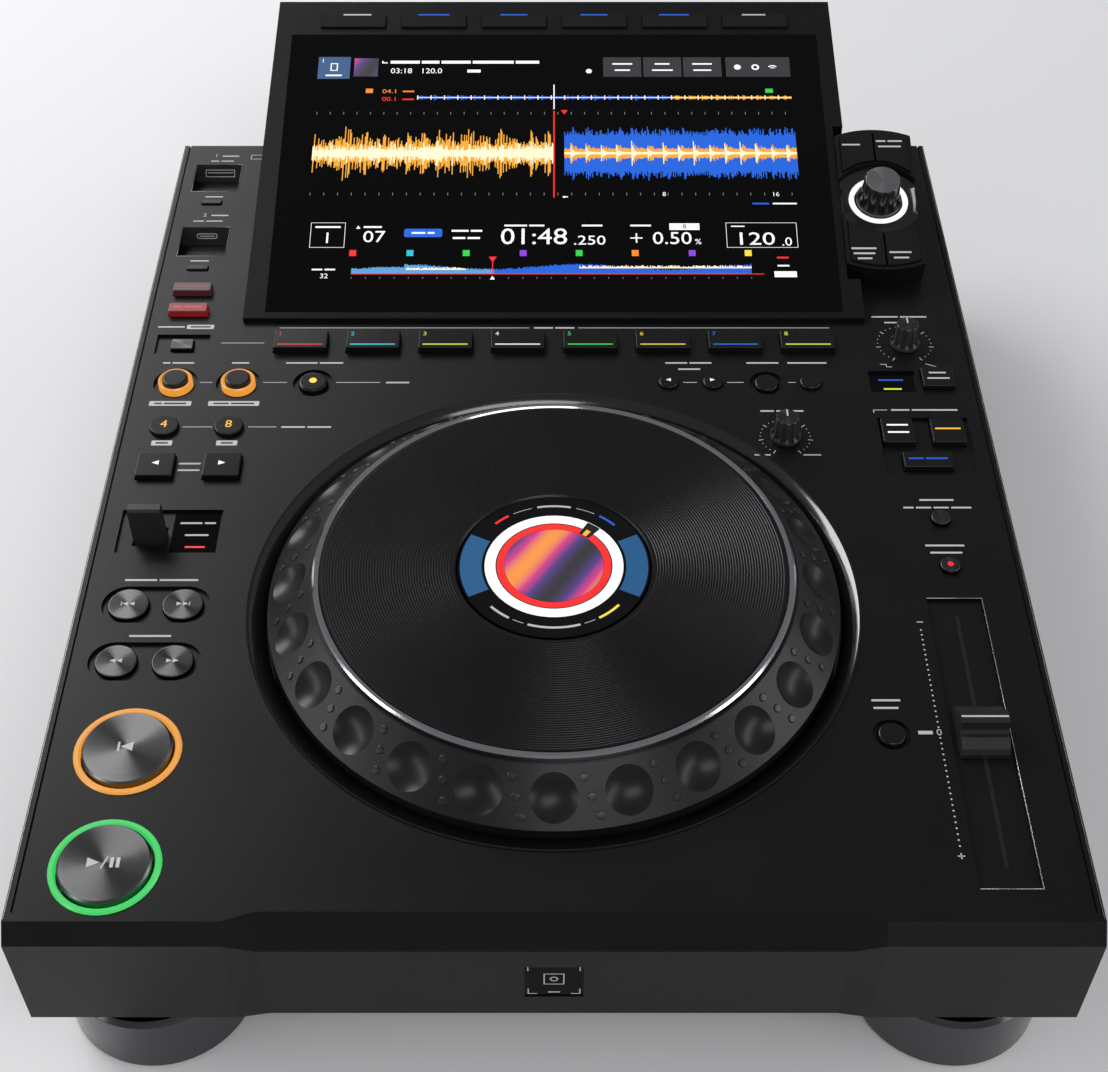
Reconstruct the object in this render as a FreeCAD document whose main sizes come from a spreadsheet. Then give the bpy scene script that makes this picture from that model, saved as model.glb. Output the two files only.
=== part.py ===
import FreeCAD, Part
import math
import os
import re
import Sketcher

# Driving dimensions in millimetres and degrees
# Plan places are x to the right of the middle and y back from the front edge of the deck, and an
# inset is a distance from the right side of the case, or from the left side where it is negative
SIZES = {
    # Body
    "case_wide": 329.0,
    "deck_deep": 402.0,
    "case_tall": 49.0,
    "wall": 3.0,
    "deck_thick": 3.0,
    "nose_reach": 5.3,
    "nose_drop": 5.4,
    "nose_undercut": 1.5,
    "middle_half": 89.3,
    "middle_blend": 10.0,
    "middle_setback": 3.4,
    "middle_drop": 10.7,
    "middle_recess": 1.5,
    "seam_inset": 2.4,
    "seam_wide": 0.7,
    "seam_deep": 0.8,
    "sheet_thick": 1.6,
    "fit_gap": 0.2,
    "inlay_wide": 18.4,
    "inlay_tall": 18.4,
    "inlay_drop": 20.0,
    "inlay_deep": 1.6,
    # Feet
    "foot_tall": 30.0,
    "foot_radius": 31.0,
    "foot_chamfer": 1.6,
    "foot_neck_radius": 20.0,
    "foot_neck_tall": 3.4,
    "foot_inset": 34.0,
    "foot_front_y": 25.8,
    "foot_rear_y": 372.0,
    # Screws and posts
    "post_radius": 4.0,
    "post_inset": 6.5,
    "post_front_y": 12.0,
    "post_middle_y": 176.0,
    "post_rear_y": 392.0,
    "screw_radius": 1.5,
    "screw_long": 14.0,
    "screw_head_radius": 2.9,
    "screw_head_tall": 1.8,
    # Boards
    "board_drop": 18.0,
    "board_thick": 1.6,
    "board_side_gap": 9.5,
    "board_front_y": 6.0,
    "board_rear_y": 380.0,
    "standoff_radius": 3.0,
    "standoff_inset": 44.5,
    "supply_wide": 110.0,
    "supply_deep": 60.0,
    "supply_tall": 22.0,
    # Jog wheel
    "jog_y": 130.5,
    "bezel_radius": 105.8,
    "bezel_inner": 99.3,
    "bezel_drop": 5.5,
    "bezel_flange": 3.2,
    "pan_drop": 9.0,
    "pan_thick": 2.0,
    "jog_radius": 98.5,
    "jog_top_radius": 83.0,
    "jog_rim_rise": 0.5,
    "jog_face_rise": 14.0,
    "jog_skirt_drop": 7.5,
    "jog_skirt_wall": 2.5,
    "jog_web_rise": 7.5,
    "jog_web_thick": 2.5,
    "hub_radius": 26.0,
    "spindle_radius": 20.0,
    "spindle_play": 0.05,
    "spindle_foot_radius": 28.0,
    "spindle_foot_thick": 1.5,
    "dimple_count": 24,
    "dimple_radius": 8.0,
    "dimple_deep": 2.4,
    "trim_radius": 82.0,
    "trim_wide": 2.4,
    "trim_rise": 16.3,
    "plate_rise": 16.0,
    "plate_thick": 3.0,
    "window_radius": 33.3,
    "display_radius": 32.6,
    "display_rise": 15.8,
    "display_thick": 3.8,
    # Cue and play buttons
    "big_inset": -27.7,
    "cue_y": 63.5,
    "play_y": 19.4,
    "ring_outer": 17.3,
    "ring_inner": 15.2,
    "ring_rise": 0.8,
    "ring_seat": 1.6,
    "big_cap_radius": 14.4,
    "big_cap_rise": 2.2,
    # Loop buttons
    "loop_in_inset": -18.1,
    "loop_out_inset": -42.3,
    "loop_y": 242.1,
    "loop_ring_outer": 6.6,
    "loop_ring_inner": 5.4,
    "loop_ring_rise": 2.0,
    "loop_cap_radius": 5.0,
    "loop_cap_rise": 2.9,
    # Keys in general
    "key_gap": 0.25,
    "flange_reach": 1.0,
    "flange_gap": 0.3,
    "flange_thick": 1.2,
    "stem_radius": 1.5,
    "stem_long": 9.0,
    "key_corner": 0.8,
    "key_edge": 0.4,
    "recess_deep": 1.2,
    # Hot cue pads
    "pad_pitch": 28.57,
    "pad_y": 265.5,
    "pad_wide": 21.2,
    "pad_deep": 11.0,
    "pad_rise": 2.8,
    # Tempo fader
    "fader_inset": 26.3,
    "fader_y": 71.0,
    "fader_bay_wide": 19.4,
    "fader_bay_front": 11.3,
    "fader_bay_rear": 129.8,
    "fader_stroke": 96.0,
    "fader_slot_wide": 1.8,
    "fader_cap_wide": 15.7,
    "fader_cap_deep": 19.6,
    "fader_cap_rise": 8.5,
    "fader_ridge": 6.0,
    "fader_lobe_rise": 4.4,
    "fader_lobe_edge": 0.9,
    "fader_stem_wide": 1.2,
    "fader_stem_deep": 5.0,
    "track_wide": 9.0,
    "track_tall": 7.0,
    # Direction lever
    "lever_inset": -20.3,
    "lever_y": 160.4,
    "lever_wide": 11.5,
    "lever_thick": 4.4,
    "lever_rise": 14.0,
    "lever_pivot_drop": 9.5,
    "lever_tail": 3.0,
    "lever_pin_radius": 1.5,
    "lever_pin_play": 0.05,
    "lever_swing": 12.0,
    "lever_bay_inset": -27.0,
    "lever_bay_y": 162.1,
    "lever_bay_wide": 36.2,
    "lever_bay_deep": 21.4,
    "lever_lug_thick": 1.8,
    # Small knobs
    "speed_inset": 25.9,
    "speed_y": 265.4,
    "feel_inset": 77.6,
    "feel_y": 211.4,
    "knob_base": 5.8,
    "knob_top": 4.4,
    "knob_tall": 10.0,
    "knob_lift": 0.4,
    "knob_flutes": 10,
    "flute_radius": 1.1,
    "shaft_radius": 3.0,
    "shaft_play": 0.05,
    "pot_wide": 11.0,
    "pot_tall": 6.5,
    # Screen unit
    "screen_y": 279.0,
    "screen_tilt": 13.5,
    "screen_long": 176.6,
    "screen_border": 8.8,
    "screen_taper": 1.9,
    "screen_skirt": 2.0,
    "screen_back_tall": 21.0,
    "screen_wall": 2.6,
    "glass_wide": 231.4,
    "glass_long": 153.2,
    "glass_from": 3.1,
    "glass_thick": 1.4,
    "panel_margin": 8.0,
    "panel_thick": 2.6,
    "menu_key_wide": 28.5,
    "menu_key_deep": 7.2,
    "menu_key_pitch": 35.6,
    "menu_key_from": 164.0,
    "menu_key_rise": 0.9,
    # Selector pod, along the slope from the front edge of the screen unit
    "pod_from_screen": 10.7,
    "pod_wide": 32.0,
    "pod_from": 23.4,
    "pod_long": 75.2,
    "pod_rise": 1.7,
    "pod_bulge": 3.4,
    "pod_wall": 1.6,
    "pod_dish_radius": 18.6,
    "pod_dish_deep": 2.2,
    "pod_middle": 61.5,
    "pod_key_rise": 0.8,
    "pod_key_thick": 2.6,
    "pod_well_deep": 2.8,
    "pod_ring_outer": 12.3,
    "pod_ring_inner": 10.2,
    "pod_ring_rise": 1.4,
    "browse_base": 9.4,
    "browse_top": 7.3,
    "browse_tall": 12.6,
    "browse_flutes": 12,
    # Sockets for memory sticks
    "usb_inset": -17.3,
    "usb_bay_wide": 20.6,
    "usb_bay_deep": 20.4,
    "usb_bay_drop": 6.5,
    "usb_slope": 4.4,
    "usb_cup_wall": 2.0,
    "usb_a_y": 377.6,
    "usb_c_y": 332.0,
    "stop_wide": 8.6,
    "stop_deep": 2.6,
    "stop_rise": 0.8,
    "stop_gap": 8.2,
    # Rear panel
    "rear_row_drop": 27.0,
    "inlet_inset": 46.5,
    "switch_inset": 80.5,
    "switch_wide": 13.0,
    "switch_tall": 19.0,
    "switch_thick": 6.0,
    "jack_inset": -104.5,
    "jack_pitch": 16.0,
    "jack_radius": 4.15,
    "jack_base_radius": 5.0,
    "jack_base_reach": 1.0,
    "jack_bore": 1.8,
    "jack_reach": 9.0,
}

# Rectangular keys: distance from the side, place y, width, depth and rise above the floor that they stand in
RECT_KEYS = {
    "slip_key": (-17.3, 298.6, 15.6, 5.6, 2.6, 0.0),
    "quantize_key": (-17.3, 285.4, 15.6, 5.6, 2.6, 0.0),
    "call_delete_key": (-17.5, 265.2, 8.8, 6.0, 1.6, 1.2),
    "jump_back_key": (-17.4, 194.6, 13.7, 12.4, 2.2, 0.0),
    "jump_forward_key": (-42.0, 194.6, 13.7, 12.4, 2.2, 0.0),
    "jog_mode_key": (16.0, 243.8, 12.2, 11.4, 2.2, 0.0),
    "beat_sync_key": (35.1, 214.0, 12.0, 13.4, 2.6, 1.2),
    "master_key": (16.3, 214.0, 12.4, 13.4, 2.6, 1.2),
    "key_sync_key": (25.9, 198.0, 18.2, 8.2, 2.6, 1.2),
}

# Round keys: distance from the side, place y, radius, rise above the floor and depth of that floor
ROUND_KEYS = {
    "reloop_key": (-71.3, 242.1, 5.6, 2.2, 1.2),
    "beat_key_4": (-17.4, 216.6, 5.4, 1.6, 0.0),
    "beat_key_8": (-41.8, 216.6, 5.4, 1.6, 0.0),
    "track_back_key": (-18.0, 126.8, 7.0, 1.6, 1.2),
    "track_forward_key": (-36.7, 126.8, 7.0, 1.6, 1.2),
    "search_back_key": (-17.8, 101.2, 7.0, 1.6, 1.2),
    "search_forward_key": (-36.8, 101.2, 7.0, 1.6, 1.2),
    "call_back_key": (120.3, 242.1, 3.9, 1.4, 0.0),
    "call_forward_key": (103.2, 242.1, 3.9, 1.4, 0.0),
    "delete_key": (82.3, 242.1, 4.7, 1.8, 1.2),
    "memory_key": (65.3, 242.1, 4.3, 1.4, 0.0),
    "tempo_range_key": (25.6, 167.6, 3.5, 1.8, 0.0),
    "master_tempo_key": (25.6, 144.3, 3.5, 1.8, 0.0),
    "tempo_reset_key": (55.2, 70.2, 4.6, 2.0, 1.2),
}

# Sunken floors of the deck: distance from the side, y, width, depth and corner radius
BAYS = {
    "call_bay": (-17.5, 265.4, 21.0, 11.6),
    "sync_bay": (24.9, 206.6, 34.0, 31.2),
    "mode_window_bay": (33.3, 243.0, 18.0, 12.4),
}
PILLS = {
    "track_bay": (-27.4, 126.8, 37.4, 8.4),
    "search_bay": (-27.3, 101.2, 38.0, 8.4),
}
DISHES = {
    "reloop_dish": (-71.3, 242.1, 7.8),
    "delete_dish": (82.3, 242.1, 6.6),
    "reset_dish": (55.2, 70.2, 6.2),
    "loop_in_dish": (-18.1, 242.1, 8.6),
    "loop_out_dish": (-42.3, 242.1, 8.6),
}


def from_side(name):
    """Turns a piece's distance from the right side, or from the left where it is negative, into x."""
    inset = SIZES[name + "_inset"]
    SIZES[name + "_x"] = math.copysign(SIZES["case_wide"] / 2 - abs(inset), inset)


def add_table(table, words):
    """Names every number of a table, so that each can be changed by itself."""
    for piece, numbers in table.items():
        for word, number in zip(words, numbers):
            SIZES[piece + "_" + word] = number
        from_side(piece)


add_table(RECT_KEYS, ("inset", "y", "wide", "deep", "rise", "floor"))
add_table(ROUND_KEYS, ("inset", "y", "radius", "rise", "floor"))
add_table(BAYS, ("inset", "y", "wide", "deep"))
add_table(PILLS, ("inset", "y", "wide", "radius"))
add_table(DISHES, ("inset", "y", "radius"))

# Numbers that follow from the driving ones
for piece in ("big", "loop_in", "loop_out", "fader", "lever", "lever_bay", "speed", "feel", "usb", "inlet",
              "switch", "jack", "foot", "post", "standoff"):
    from_side(piece)
SIZES["board_half"] = SIZES["case_wide"] / 2 - SIZES["wall"] - SIZES["board_side_gap"]
SIZES["screen_half"] = SIZES["glass_wide"] / 2 + SIZES["screen_border"]
SIZES["screen_top_half"] = SIZES["screen_half"] - SIZES["screen_taper"]
SIZES["pod_x"] = SIZES["screen_half"] + SIZES["pod_from_screen"]
TILT = math.radians(SIZES["screen_tilt"])
SIZES["deck_top"] = SIZES["foot_tall"] + SIZES["case_tall"]
screen_rear = SIZES["screen_y"] + SIZES["screen_long"] * math.cos(TILT)
SIZES["screen_run"] = SIZES["screen_long"] * math.cos(TILT)
SIZES["screen_climb"] = SIZES["screen_long"] * math.sin(TILT)
SIZES["middle_y"] = (max(screen_rear, SIZES["deck_deep"]) - SIZES["nose_reach"]) / 2

doc = FreeCAD.newDocument("media_player")
sheet = doc.addObject("Spreadsheet::Sheet", "Sizes")
for row, (word, number) in enumerate(SIZES.items(), start=1):
    sheet.set("A%d" % row, word)
    sheet.set("B%d" % row, str(number))
    sheet.setAlias("B%d" % row, word)
doc.recompute()


# How sizes are bound to the sheet

def formula(text):
    """Turns the plain words of a formula into references to the sheet."""
    return re.sub(r"[a-z][a-z0-9_]{2,}(?![a-z0-9_(])", lambda word: "Sizes." + word.group(0), str(text))


def bind(thing, **formulas):
    for name, text in formulas.items():
        thing.setExpression(name, formula(text))


def place(thing, x="0", y="0", z="0"):
    """Puts a piece at x, at y back from the deck's front edge, and at z above the deck."""
    thing.setExpression("Placement.Base.x", formula(x))
    thing.setExpression("Placement.Base.y", formula("(%s) - middle_y" % y))
    thing.setExpression("Placement.Base.z", formula("(%s) + deck_top" % z))


def shift(thing, x="0", y="0", z="0"):
    """Puts a piece at plain coordinates of its own body or of the tilted screen unit."""
    thing.setExpression("Placement.Base.x", formula(x))
    thing.setExpression("Placement.Base.y", formula(y))
    thing.setExpression("Placement.Base.z", formula(z))


def lean(thing):
    """Lays a piece made in the flat on the slope of the screen unit."""
    thing.Placement.Rotation = FreeCAD.Rotation(FreeCAD.Vector(1, 0, 0), 1)
    thing.setExpression("Placement.Rotation.Angle", formula("screen_tilt"))
    place(thing, y="screen_y", z="screen_skirt")


# Primitives, each with its size and place bound to the sheet

def block(x, y, z, wide, deep, tall, put=place):
    """A box centred on x and y that stands on z."""
    piece = doc.addObject("Part::Box", "Block")
    bind(piece, Length=wide, Width=deep, Height=tall)
    put(piece, "(%s) - (%s) / 2" % (x, wide), "(%s) - (%s) / 2" % (y, deep), z)
    return piece


def rod(x, y, z, radius, tall, put=place):
    piece = doc.addObject("Part::Cylinder", "Rod")
    bind(piece, Radius=radius, Height=tall)
    put(piece, x, y, z)
    return piece


def cross_rod(x, y, z, radius, long):
    """A rod along x, centred on x."""
    piece = doc.addObject("Part::Cylinder", "CrossRod")
    bind(piece, Radius=radius, Height=long)
    piece.Placement.Rotation = FreeCAD.Rotation(FreeCAD.Vector(0, 1, 0), 90)
    place(piece, "(%s) - (%s) / 2" % (x, long), y, z)
    return piece


def back_rod(x, y, z, radius, long):
    """A rod that runs back along y from y."""
    piece = doc.addObject("Part::Cylinder", "BackRod")
    bind(piece, Radius=radius, Height=long)
    piece.Placement.Rotation = FreeCAD.Rotation(FreeCAD.Vector(1, 0, 0), -90)
    place(piece, x, y, z)
    return piece


def pill(x, y, z, wide, radius, tall):
    """A box with round ends, as a list of its three solids."""
    reach = "(%s) / 2 - (%s)" % (wide, radius)
    return [
        block(x, y, z, "(%s) - 2 * (%s)" % (wide, radius), "2 * (%s)" % radius, tall),
        rod("(%s) - (%s)" % (x, reach), y, z, radius, tall),
        rod("(%s) + (%s)" % (x, reach), y, z, radius, tall),
    ]


def fuse(pieces):
    if len(pieces) == 1:
        return pieces[0]
    joined = doc.addObject("Part::MultiFuse", "Joined")
    joined.Shapes = pieces
    return joined


def cut(base, tools):
    carved = doc.addObject("Part::Cut", "Carved")
    carved.Base = base
    carved.Tool = fuse(tools)
    return carved


def group(pieces):
    together = doc.addObject("Part::Compound", "Group")
    together.Links = pieces
    return together


NODES = []


def node(label, piece):
    """Gives a finished sub-part its name."""
    piece.Label = label
    NODES.append(piece)
    return piece


# Bodies built from sketches

def body():
    return doc.addObject("PartDesign::Body", "Body")


def outline(owner, plane, points):
    """A closed sketch of straight lines whose corners are bound to the sheet."""
    sketch = owner.newObject("Sketcher::SketchObject", "Sketch")
    origin = [part for part in owner.Origin.OriginFeatures if part.Role == plane][0]
    sketch.AttachmentSupport = [(origin, "")]
    sketch.MapMode = "FlatFace"
    count = len(points)
    turns = [2 * math.pi * step / count for step in range(count)]
    corners = [FreeCAD.Vector(50 * math.cos(turn), 50 * math.sin(turn), 0) for turn in turns]
    for index in range(count):
        sketch.addGeometry(Part.LineSegment(corners[index], corners[(index + 1) % count]))
    for index in range(count):
        sketch.addConstraint(Sketcher.Constraint("Coincident", index, 2, (index + 1) % count, 1))
    for index, (across, up) in enumerate(points):
        for kind, text, start in (("DistanceX", across, corners[index].x), ("DistanceY", up, corners[index].y)):
            number = sketch.addConstraint(Sketcher.Constraint(kind, -1, 1, index, 1, start))
            sketch.setExpression("Constraints[%d]" % number, formula(text))
    return sketch


def turned(owner, points):
    """Turns an outline of radius and height about the body's own upright axis."""
    feature = owner.newObject("PartDesign::Revolution", "Turned")
    feature.Profile = outline(owner, "XZ_Plane", points)
    feature.ReferenceAxis = (feature.Profile[0], ["V_Axis"])
    feature.Angle = 360
    return feature


def padded(owner, plane, points, long, middle=True):
    feature = owner.newObject("PartDesign::Pad", "Padded")
    feature.Profile = outline(owner, plane, points)
    bind(feature, Length=long)
    feature.Midplane = middle
    return feature


def add_block(owner, x, y, z, wide, deep, tall, kind="Additive"):
    feature = owner.newObject("PartDesign::%sBox" % kind, "Block")
    bind(feature, Length=wide, Width=deep, Height=tall)
    shift(feature, "(%s) - (%s) / 2" % (x, wide), "(%s) - (%s) / 2" % (y, deep), z)
    return feature


def add_rod(owner, x, y, z, radius, tall, kind="Additive"):
    feature = owner.newObject("PartDesign::%sCylinder" % kind, "Rod")
    bind(feature, Radius=radius, Height=tall)
    shift(feature, x, y, z)
    return feature


def soften(owner, feature, chosen, radius, style="Fillet"):
    """Rounds or bevels the edges of a feature that the test picks."""
    owner.recompute(True)
    names = ["Edge%d" % (spot + 1) for spot, edge in enumerate(feature.Shape.Edges) if chosen(edge)]
    rounded = owner.newObject("PartDesign::" + style, style)
    rounded.Base = (feature, names)
    bind(rounded, **{"Radius" if style == "Fillet" else "Size": radius})
    return rounded


def upright(edge):
    ends = edge.Vertexes
    if len(ends) < 2:
        return False
    run = ends[1].Point - ends[0].Point
    return abs(run.x) < 1e-6 and abs(run.y) < 1e-6


def top_edge(feature):
    """A test that picks the edges round the top face of a feature."""
    feature.recompute(True)
    height = feature.Shape.BoundBox.ZMax
    return lambda edge: abs(edge.BoundBox.ZMin - height) < 1e-4 and abs(edge.BoundBox.ZMax - height) < 1e-4


def flutes(owner, count, radius, reach, tall):
    """Cuts one upright groove and repeats it round the upright axis."""
    groove = add_rod(owner, reach, "0", "1.2", radius, tall, "Subtractive")
    ring = owner.newObject("PartDesign::PolarPattern", "Flutes")
    ring.Originals = [groove]
    ring.Axis = ([part for part in owner.Origin.OriginFeatures if part.Role == "Z_Axis"][0], [""])
    ring.Angle = 360
    bind(ring, Occurrences=count)
    owner.Tip = ring
    return ring


FLANGE_TOP = "-deck_thick - flange_gap"


def rect_key(label, x, y, wide, deep, rise):
    """A moulded key: cap with eased corners, retaining flange under the deck and stem."""
    key = body()
    rect_cap(key, wide, deep, rise)
    place(key, x, y)
    return node(label, key)


def rect_cap(owner, wide, deep, rise):
    cap = add_block(owner, "0", "0", FLANGE_TOP, wide, deep, "(%s) - (%s)" % (rise, FLANGE_TOP))
    corners = soften(owner, cap, upright, "key_corner")
    soften(owner, corners, top_edge(corners), "key_edge")
    add_block(owner, "0", "0", FLANGE_TOP + " - flange_thick", "(%s) + 2 * flange_reach" % wide,
              "(%s) + 2 * flange_reach" % deep, "flange_thick")
    add_rod(owner, "0", "0", FLANGE_TOP + " - flange_thick - stem_long", "stem_radius", "stem_long")


def round_key(label, x, y, radius, rise, ease="key_edge", style="Fillet"):
    """A round key with an eased top, retaining flange under the deck and stem."""
    key = body()
    cap = add_rod(key, "0", "0", FLANGE_TOP, radius, "(%s) - (%s)" % (rise, FLANGE_TOP))
    soften(key, cap, top_edge(cap), ease, style)
    add_rod(key, "0", "0", FLANGE_TOP + " - flange_thick", "(%s) + flange_reach" % radius, "flange_thick")
    add_rod(key, "0", "0", FLANGE_TOP + " - flange_thick - stem_long", "stem_radius", "stem_long")
    place(key, x, y)
    return node(label, key)


# Upper case: a ruled shell through six profiles, with the nose set back in the middle

def case_block():
    """The outer form of the case as a ruled loft from side to side."""
    size = sheet.get
    side = (0.0, size("nose_reach"), size("nose_drop"))
    middle = (size("middle_setback"), size("nose_reach") - size("middle_recess"), size("middle_drop"))
    blend = size("middle_half") + size("middle_blend")
    stations = [(size("case_wide") / 2, side), (blend, side), (size("middle_half"), middle)]
    stations = [(-x, shape) for x, shape in stations] + stations[::-1]
    wires = []
    for x, (setback, reach, drop) in stations:
        corners = [
            (size("deck_deep"), -size("case_tall")),
            (size("nose_undercut") - reach, -size("case_tall")),
            (-reach, -drop),
            (setback, 0.0),
            (size("deck_deep"), 0.0),
        ]
        points = [FreeCAD.Vector(x, y - size("middle_y"), z + size("deck_top")) for y, z in corners]
        wires.append(Part.makePolygon(points + points[:1]))
    form = doc.addObject("Part::Feature", "CaseForm")
    form.Shape = Part.makeLoft(wires, True, True)
    return form


deck_cuts = []

# Hollow of the case, open underneath and at the rear
deck_cuts.append(block("0", "(middle_setback + wall + deck_deep + 1) / 2", "-case_tall - 1",
                       "case_wide - 2 * wall", "deck_deep + 1 - middle_setback - wall",
                       "case_tall + 1 - deck_thick"))
deck_cuts.append(block("0", "wall + 2", "-case_tall - 1", "case_wide - 2 * wall",
                       "2 * (wall + 2 + nose_reach - nose_undercut - middle_recess - wall)",
                       "case_tall + 1 - middle_drop - wall"))
for side in ("-", ""):
    deck_cuts.append(block("%s(case_wide / 2 - seam_inset)" % (side or "1 * "), "deck_deep / 2 + 1.5", "-seam_deep",
                           "seam_wide", "deck_deep - 3", "seam_deep + 1"))
deck_cuts.append(block("0", "-nose_reach", "-inlay_drop - inlay_tall", "inlay_wide",
                       "2 * (middle_recess + inlay_deep)", "inlay_tall"))

# Sunken floors
for name in BAYS:
    deck_cuts.append(block(name + "_x", name + "_y", "-recess_deep", name + "_wide", name + "_deep", "5"))
for name in PILLS:
    deck_cuts += pill(name + "_x", name + "_y", "-recess_deep", name + "_wide", name + "_radius", "5")
for name in DISHES:
    deck_cuts.append(rod(name + "_x", name + "_y", "-recess_deep", name + "_radius", "5"))

# Holes for the keys
for name in RECT_KEYS:
    deck_cuts.append(block(name + "_x", name + "_y", "-10", name + "_wide + 2 * key_gap",
                           name + "_deep + 2 * key_gap", "15"))
for name in ROUND_KEYS:
    deck_cuts.append(rod(name + "_x", name + "_y", "-10", name + "_radius + key_gap", "15"))
PADS = "abcdefgh"
for index in range(len(PADS)):
    deck_cuts.append(block("(%d - 3.5) * pad_pitch" % index, "pad_y", "-10", "pad_wide + 2 * key_gap",
                           "pad_deep + 2 * key_gap", "15"))

# Cue and play rings stand in counterbores, with the caps in the hole below
BIG = {"cue_button": "cue_y", "play_button": "play_y"}
LOOPS = {"loop_in_button": "loop_in_x", "loop_out_button": "loop_out_x"}
for y in BIG.values():
    deck_cuts.append(rod("big_x", y, "-ring_seat", "ring_outer + fit_gap / 2", "5"))
    deck_cuts.append(rod("big_x", y, "-10", "big_cap_radius + key_gap", "15"))
    deck_cuts.append(rod("big_x", y, "-20", "big_cap_radius + flange_reach + key_gap", "20 - deck_thick"))
for x in LOOPS.values():
    deck_cuts.append(rod(x, "loop_y", "-ring_seat - 0.4", "loop_ring_outer + fit_gap / 2", "5"))
    deck_cuts.append(rod(x, "loop_y", "-10", "loop_cap_radius + key_gap", "15"))

# Jog wheel opening, fader bay with its slot, lever bay with its slot, knob shafts, stop keys
deck_cuts.append(rod("0", "jog_y", "-10", "bezel_radius + fit_gap / 2", "15"))
BAY_LONG = "(fader_bay_rear - fader_bay_front)"
BAY_Y = "((fader_bay_rear + fader_bay_front) / 2)"
deck_cuts.append(block("fader_x", BAY_Y, "-recess_deep", "fader_bay_wide", BAY_LONG, "5"))
deck_cuts.append(block("fader_x", "fader_y", "-10", "fader_slot_wide",
                       "fader_stroke + fader_stem_deep + 2", "15"))
deck_cuts.append(block("lever_bay_x", "lever_bay_y", "-recess_deep", "lever_bay_wide", "lever_bay_deep", "5"))
deck_cuts.append(block("lever_x", "lever_y", "-10", "lever_wide + 2 * key_gap",
                       "lever_thick + 2 * (lever_pivot_drop + 2) * tan(lever_swing)", "15"))
KNOBS = {"jog_speed_knob": ("speed_x", "speed_y"), "jog_feel_knob": ("feel_x", "feel_y")}
for x, y in KNOBS.values():
    deck_cuts.append(rod(x, y, "-10", "shaft_radius + shaft_play", "15"))
STOPS = ("usb_a_y", "usb_c_y")
for y in STOPS:
    deck_cuts.append(block("usb_x", y + " - usb_bay_deep / 2 - stop_gap", "-10", "stop_wide + 2 * key_gap",
                           "stop_deep + 2 * key_gap", "15"))

# Cable opening under the screen unit
deck_cuts.append(block("0", "screen_y + 70", "-10", "120", "50", "15"))


def usb_cup(y):
    """The box under the deck that holds one memory stick socket."""
    return block("usb_x", y, "-usb_bay_drop - usb_cup_wall", "usb_bay_wide + 2 * usb_cup_wall",
                 "usb_bay_deep + 2 * usb_cup_wall", "usb_bay_drop + usb_cup_wall - deck_thick + 0.5")


def usb_pocket(y):
    """The pocket with its sloped rear wall."""
    hole = body()
    padded(hole, "YZ_Plane", [
        ("-usb_bay_deep / 2", "2"),
        ("-usb_bay_deep / 2", "-usb_bay_drop"),
        ("usb_bay_deep / 2 - usb_slope", "-usb_bay_drop"),
        ("usb_bay_deep / 2", "0"),
        ("usb_bay_deep / 2", "2"),
    ], "usb_bay_wide")
    place(hole, "usb_x", y)
    return hole


# Lugs that carry the direction lever's pin, and posts for the screws
LUG_X = "(lever_wide / 2 + key_gap + lever_lug_thick / 2)"
added = [usb_cup(y) for y in STOPS]
for sign in ("-", "+"):
    added.append(block("lever_x %s %s" % (sign, LUG_X), "lever_y", "-lever_pivot_drop - 3.5",
                       "lever_lug_thick", "8", "lever_pivot_drop + 3.5 - deck_thick + 0.5"))
POSTS = [("%spost_x" % sign, y) for sign in ("-", "1 * ") for y in ("post_front_y", "post_middle_y", "post_rear_y")]
for x, y in POSTS:
    added.append(rod(x, y, "-case_tall + sheet_thick", "post_radius", "case_tall - sheet_thick - deck_thick + 0.5"))

late_cuts = [usb_pocket(y) for y in STOPS]
late_cuts.append(cross_rod("lever_x", "lever_y", "-lever_pivot_drop",
                           "lever_pin_radius + lever_pin_play", "lever_wide + 2 * lever_lug_thick + 4"))
for x, y in POSTS:
    late_cuts.append(rod(x, y, "-case_tall", "screw_radius", "screw_long + 1"))

shell = cut(case_block(), deck_cuts)
node("upper_case", cut(fuse([shell] + added), late_cuts))

# Lower case: folded steel tray with the rear panel, standoffs for both boards
tray_wide = "(case_wide - 2 * wall - 2 * fit_gap)"
tray_front = "(wall - nose_reach + nose_undercut + middle_recess + fit_gap)"
floor_piece = block("0", "(%s + deck_deep) / 2" % tray_front, "-case_tall", tray_wide,
                    "deck_deep - %s" % tray_front, "sheet_thick")
rear_piece = block("0", "deck_deep - sheet_thick / 2", "-case_tall", tray_wide, "sheet_thick",
                   "case_tall - deck_thick - fit_gap")
BOARD_Y = "((board_front_y + board_rear_y) / 2)"
standoffs = []
for sign in ("-", "1 * "):
    for y in ("board_front_y + 9", "board_rear_y - 9"):
        standoffs.append(rod("%sstandoff_x" % sign, y, "-case_tall", "standoff_radius",
                             "case_tall - board_drop"))
tray_holes = []
for x, y in POSTS:
    tray_holes.append(rod(x, y, "-case_tall - 1", "screw_radius + fit_gap", "5"))
tray_holes.append(block("inlet_x", "deck_deep", "-rear_row_drop - 9.8 - fit_gap", "27 + 2 * fit_gap",
                        "20", "19.6 + 2 * fit_gap"))
tray_holes.append(block("switch_x", "deck_deep", "-rear_row_drop - switch_tall / 2 - key_gap",
                        "switch_wide + 2 * key_gap", "20", "switch_tall + 2 * key_gap"))
tray_holes.append(block("15", "deck_deep", "-rear_row_drop - 6.5 - fit_gap", "15.6 + 2 * fit_gap",
                        "20", "13 + 2 * fit_gap"))
tray_holes.append(block("-15", "deck_deep", "-rear_row_drop - 5.5 - fit_gap", "12 + 2 * fit_gap",
                        "20", "11 + 2 * fit_gap"))
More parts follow.
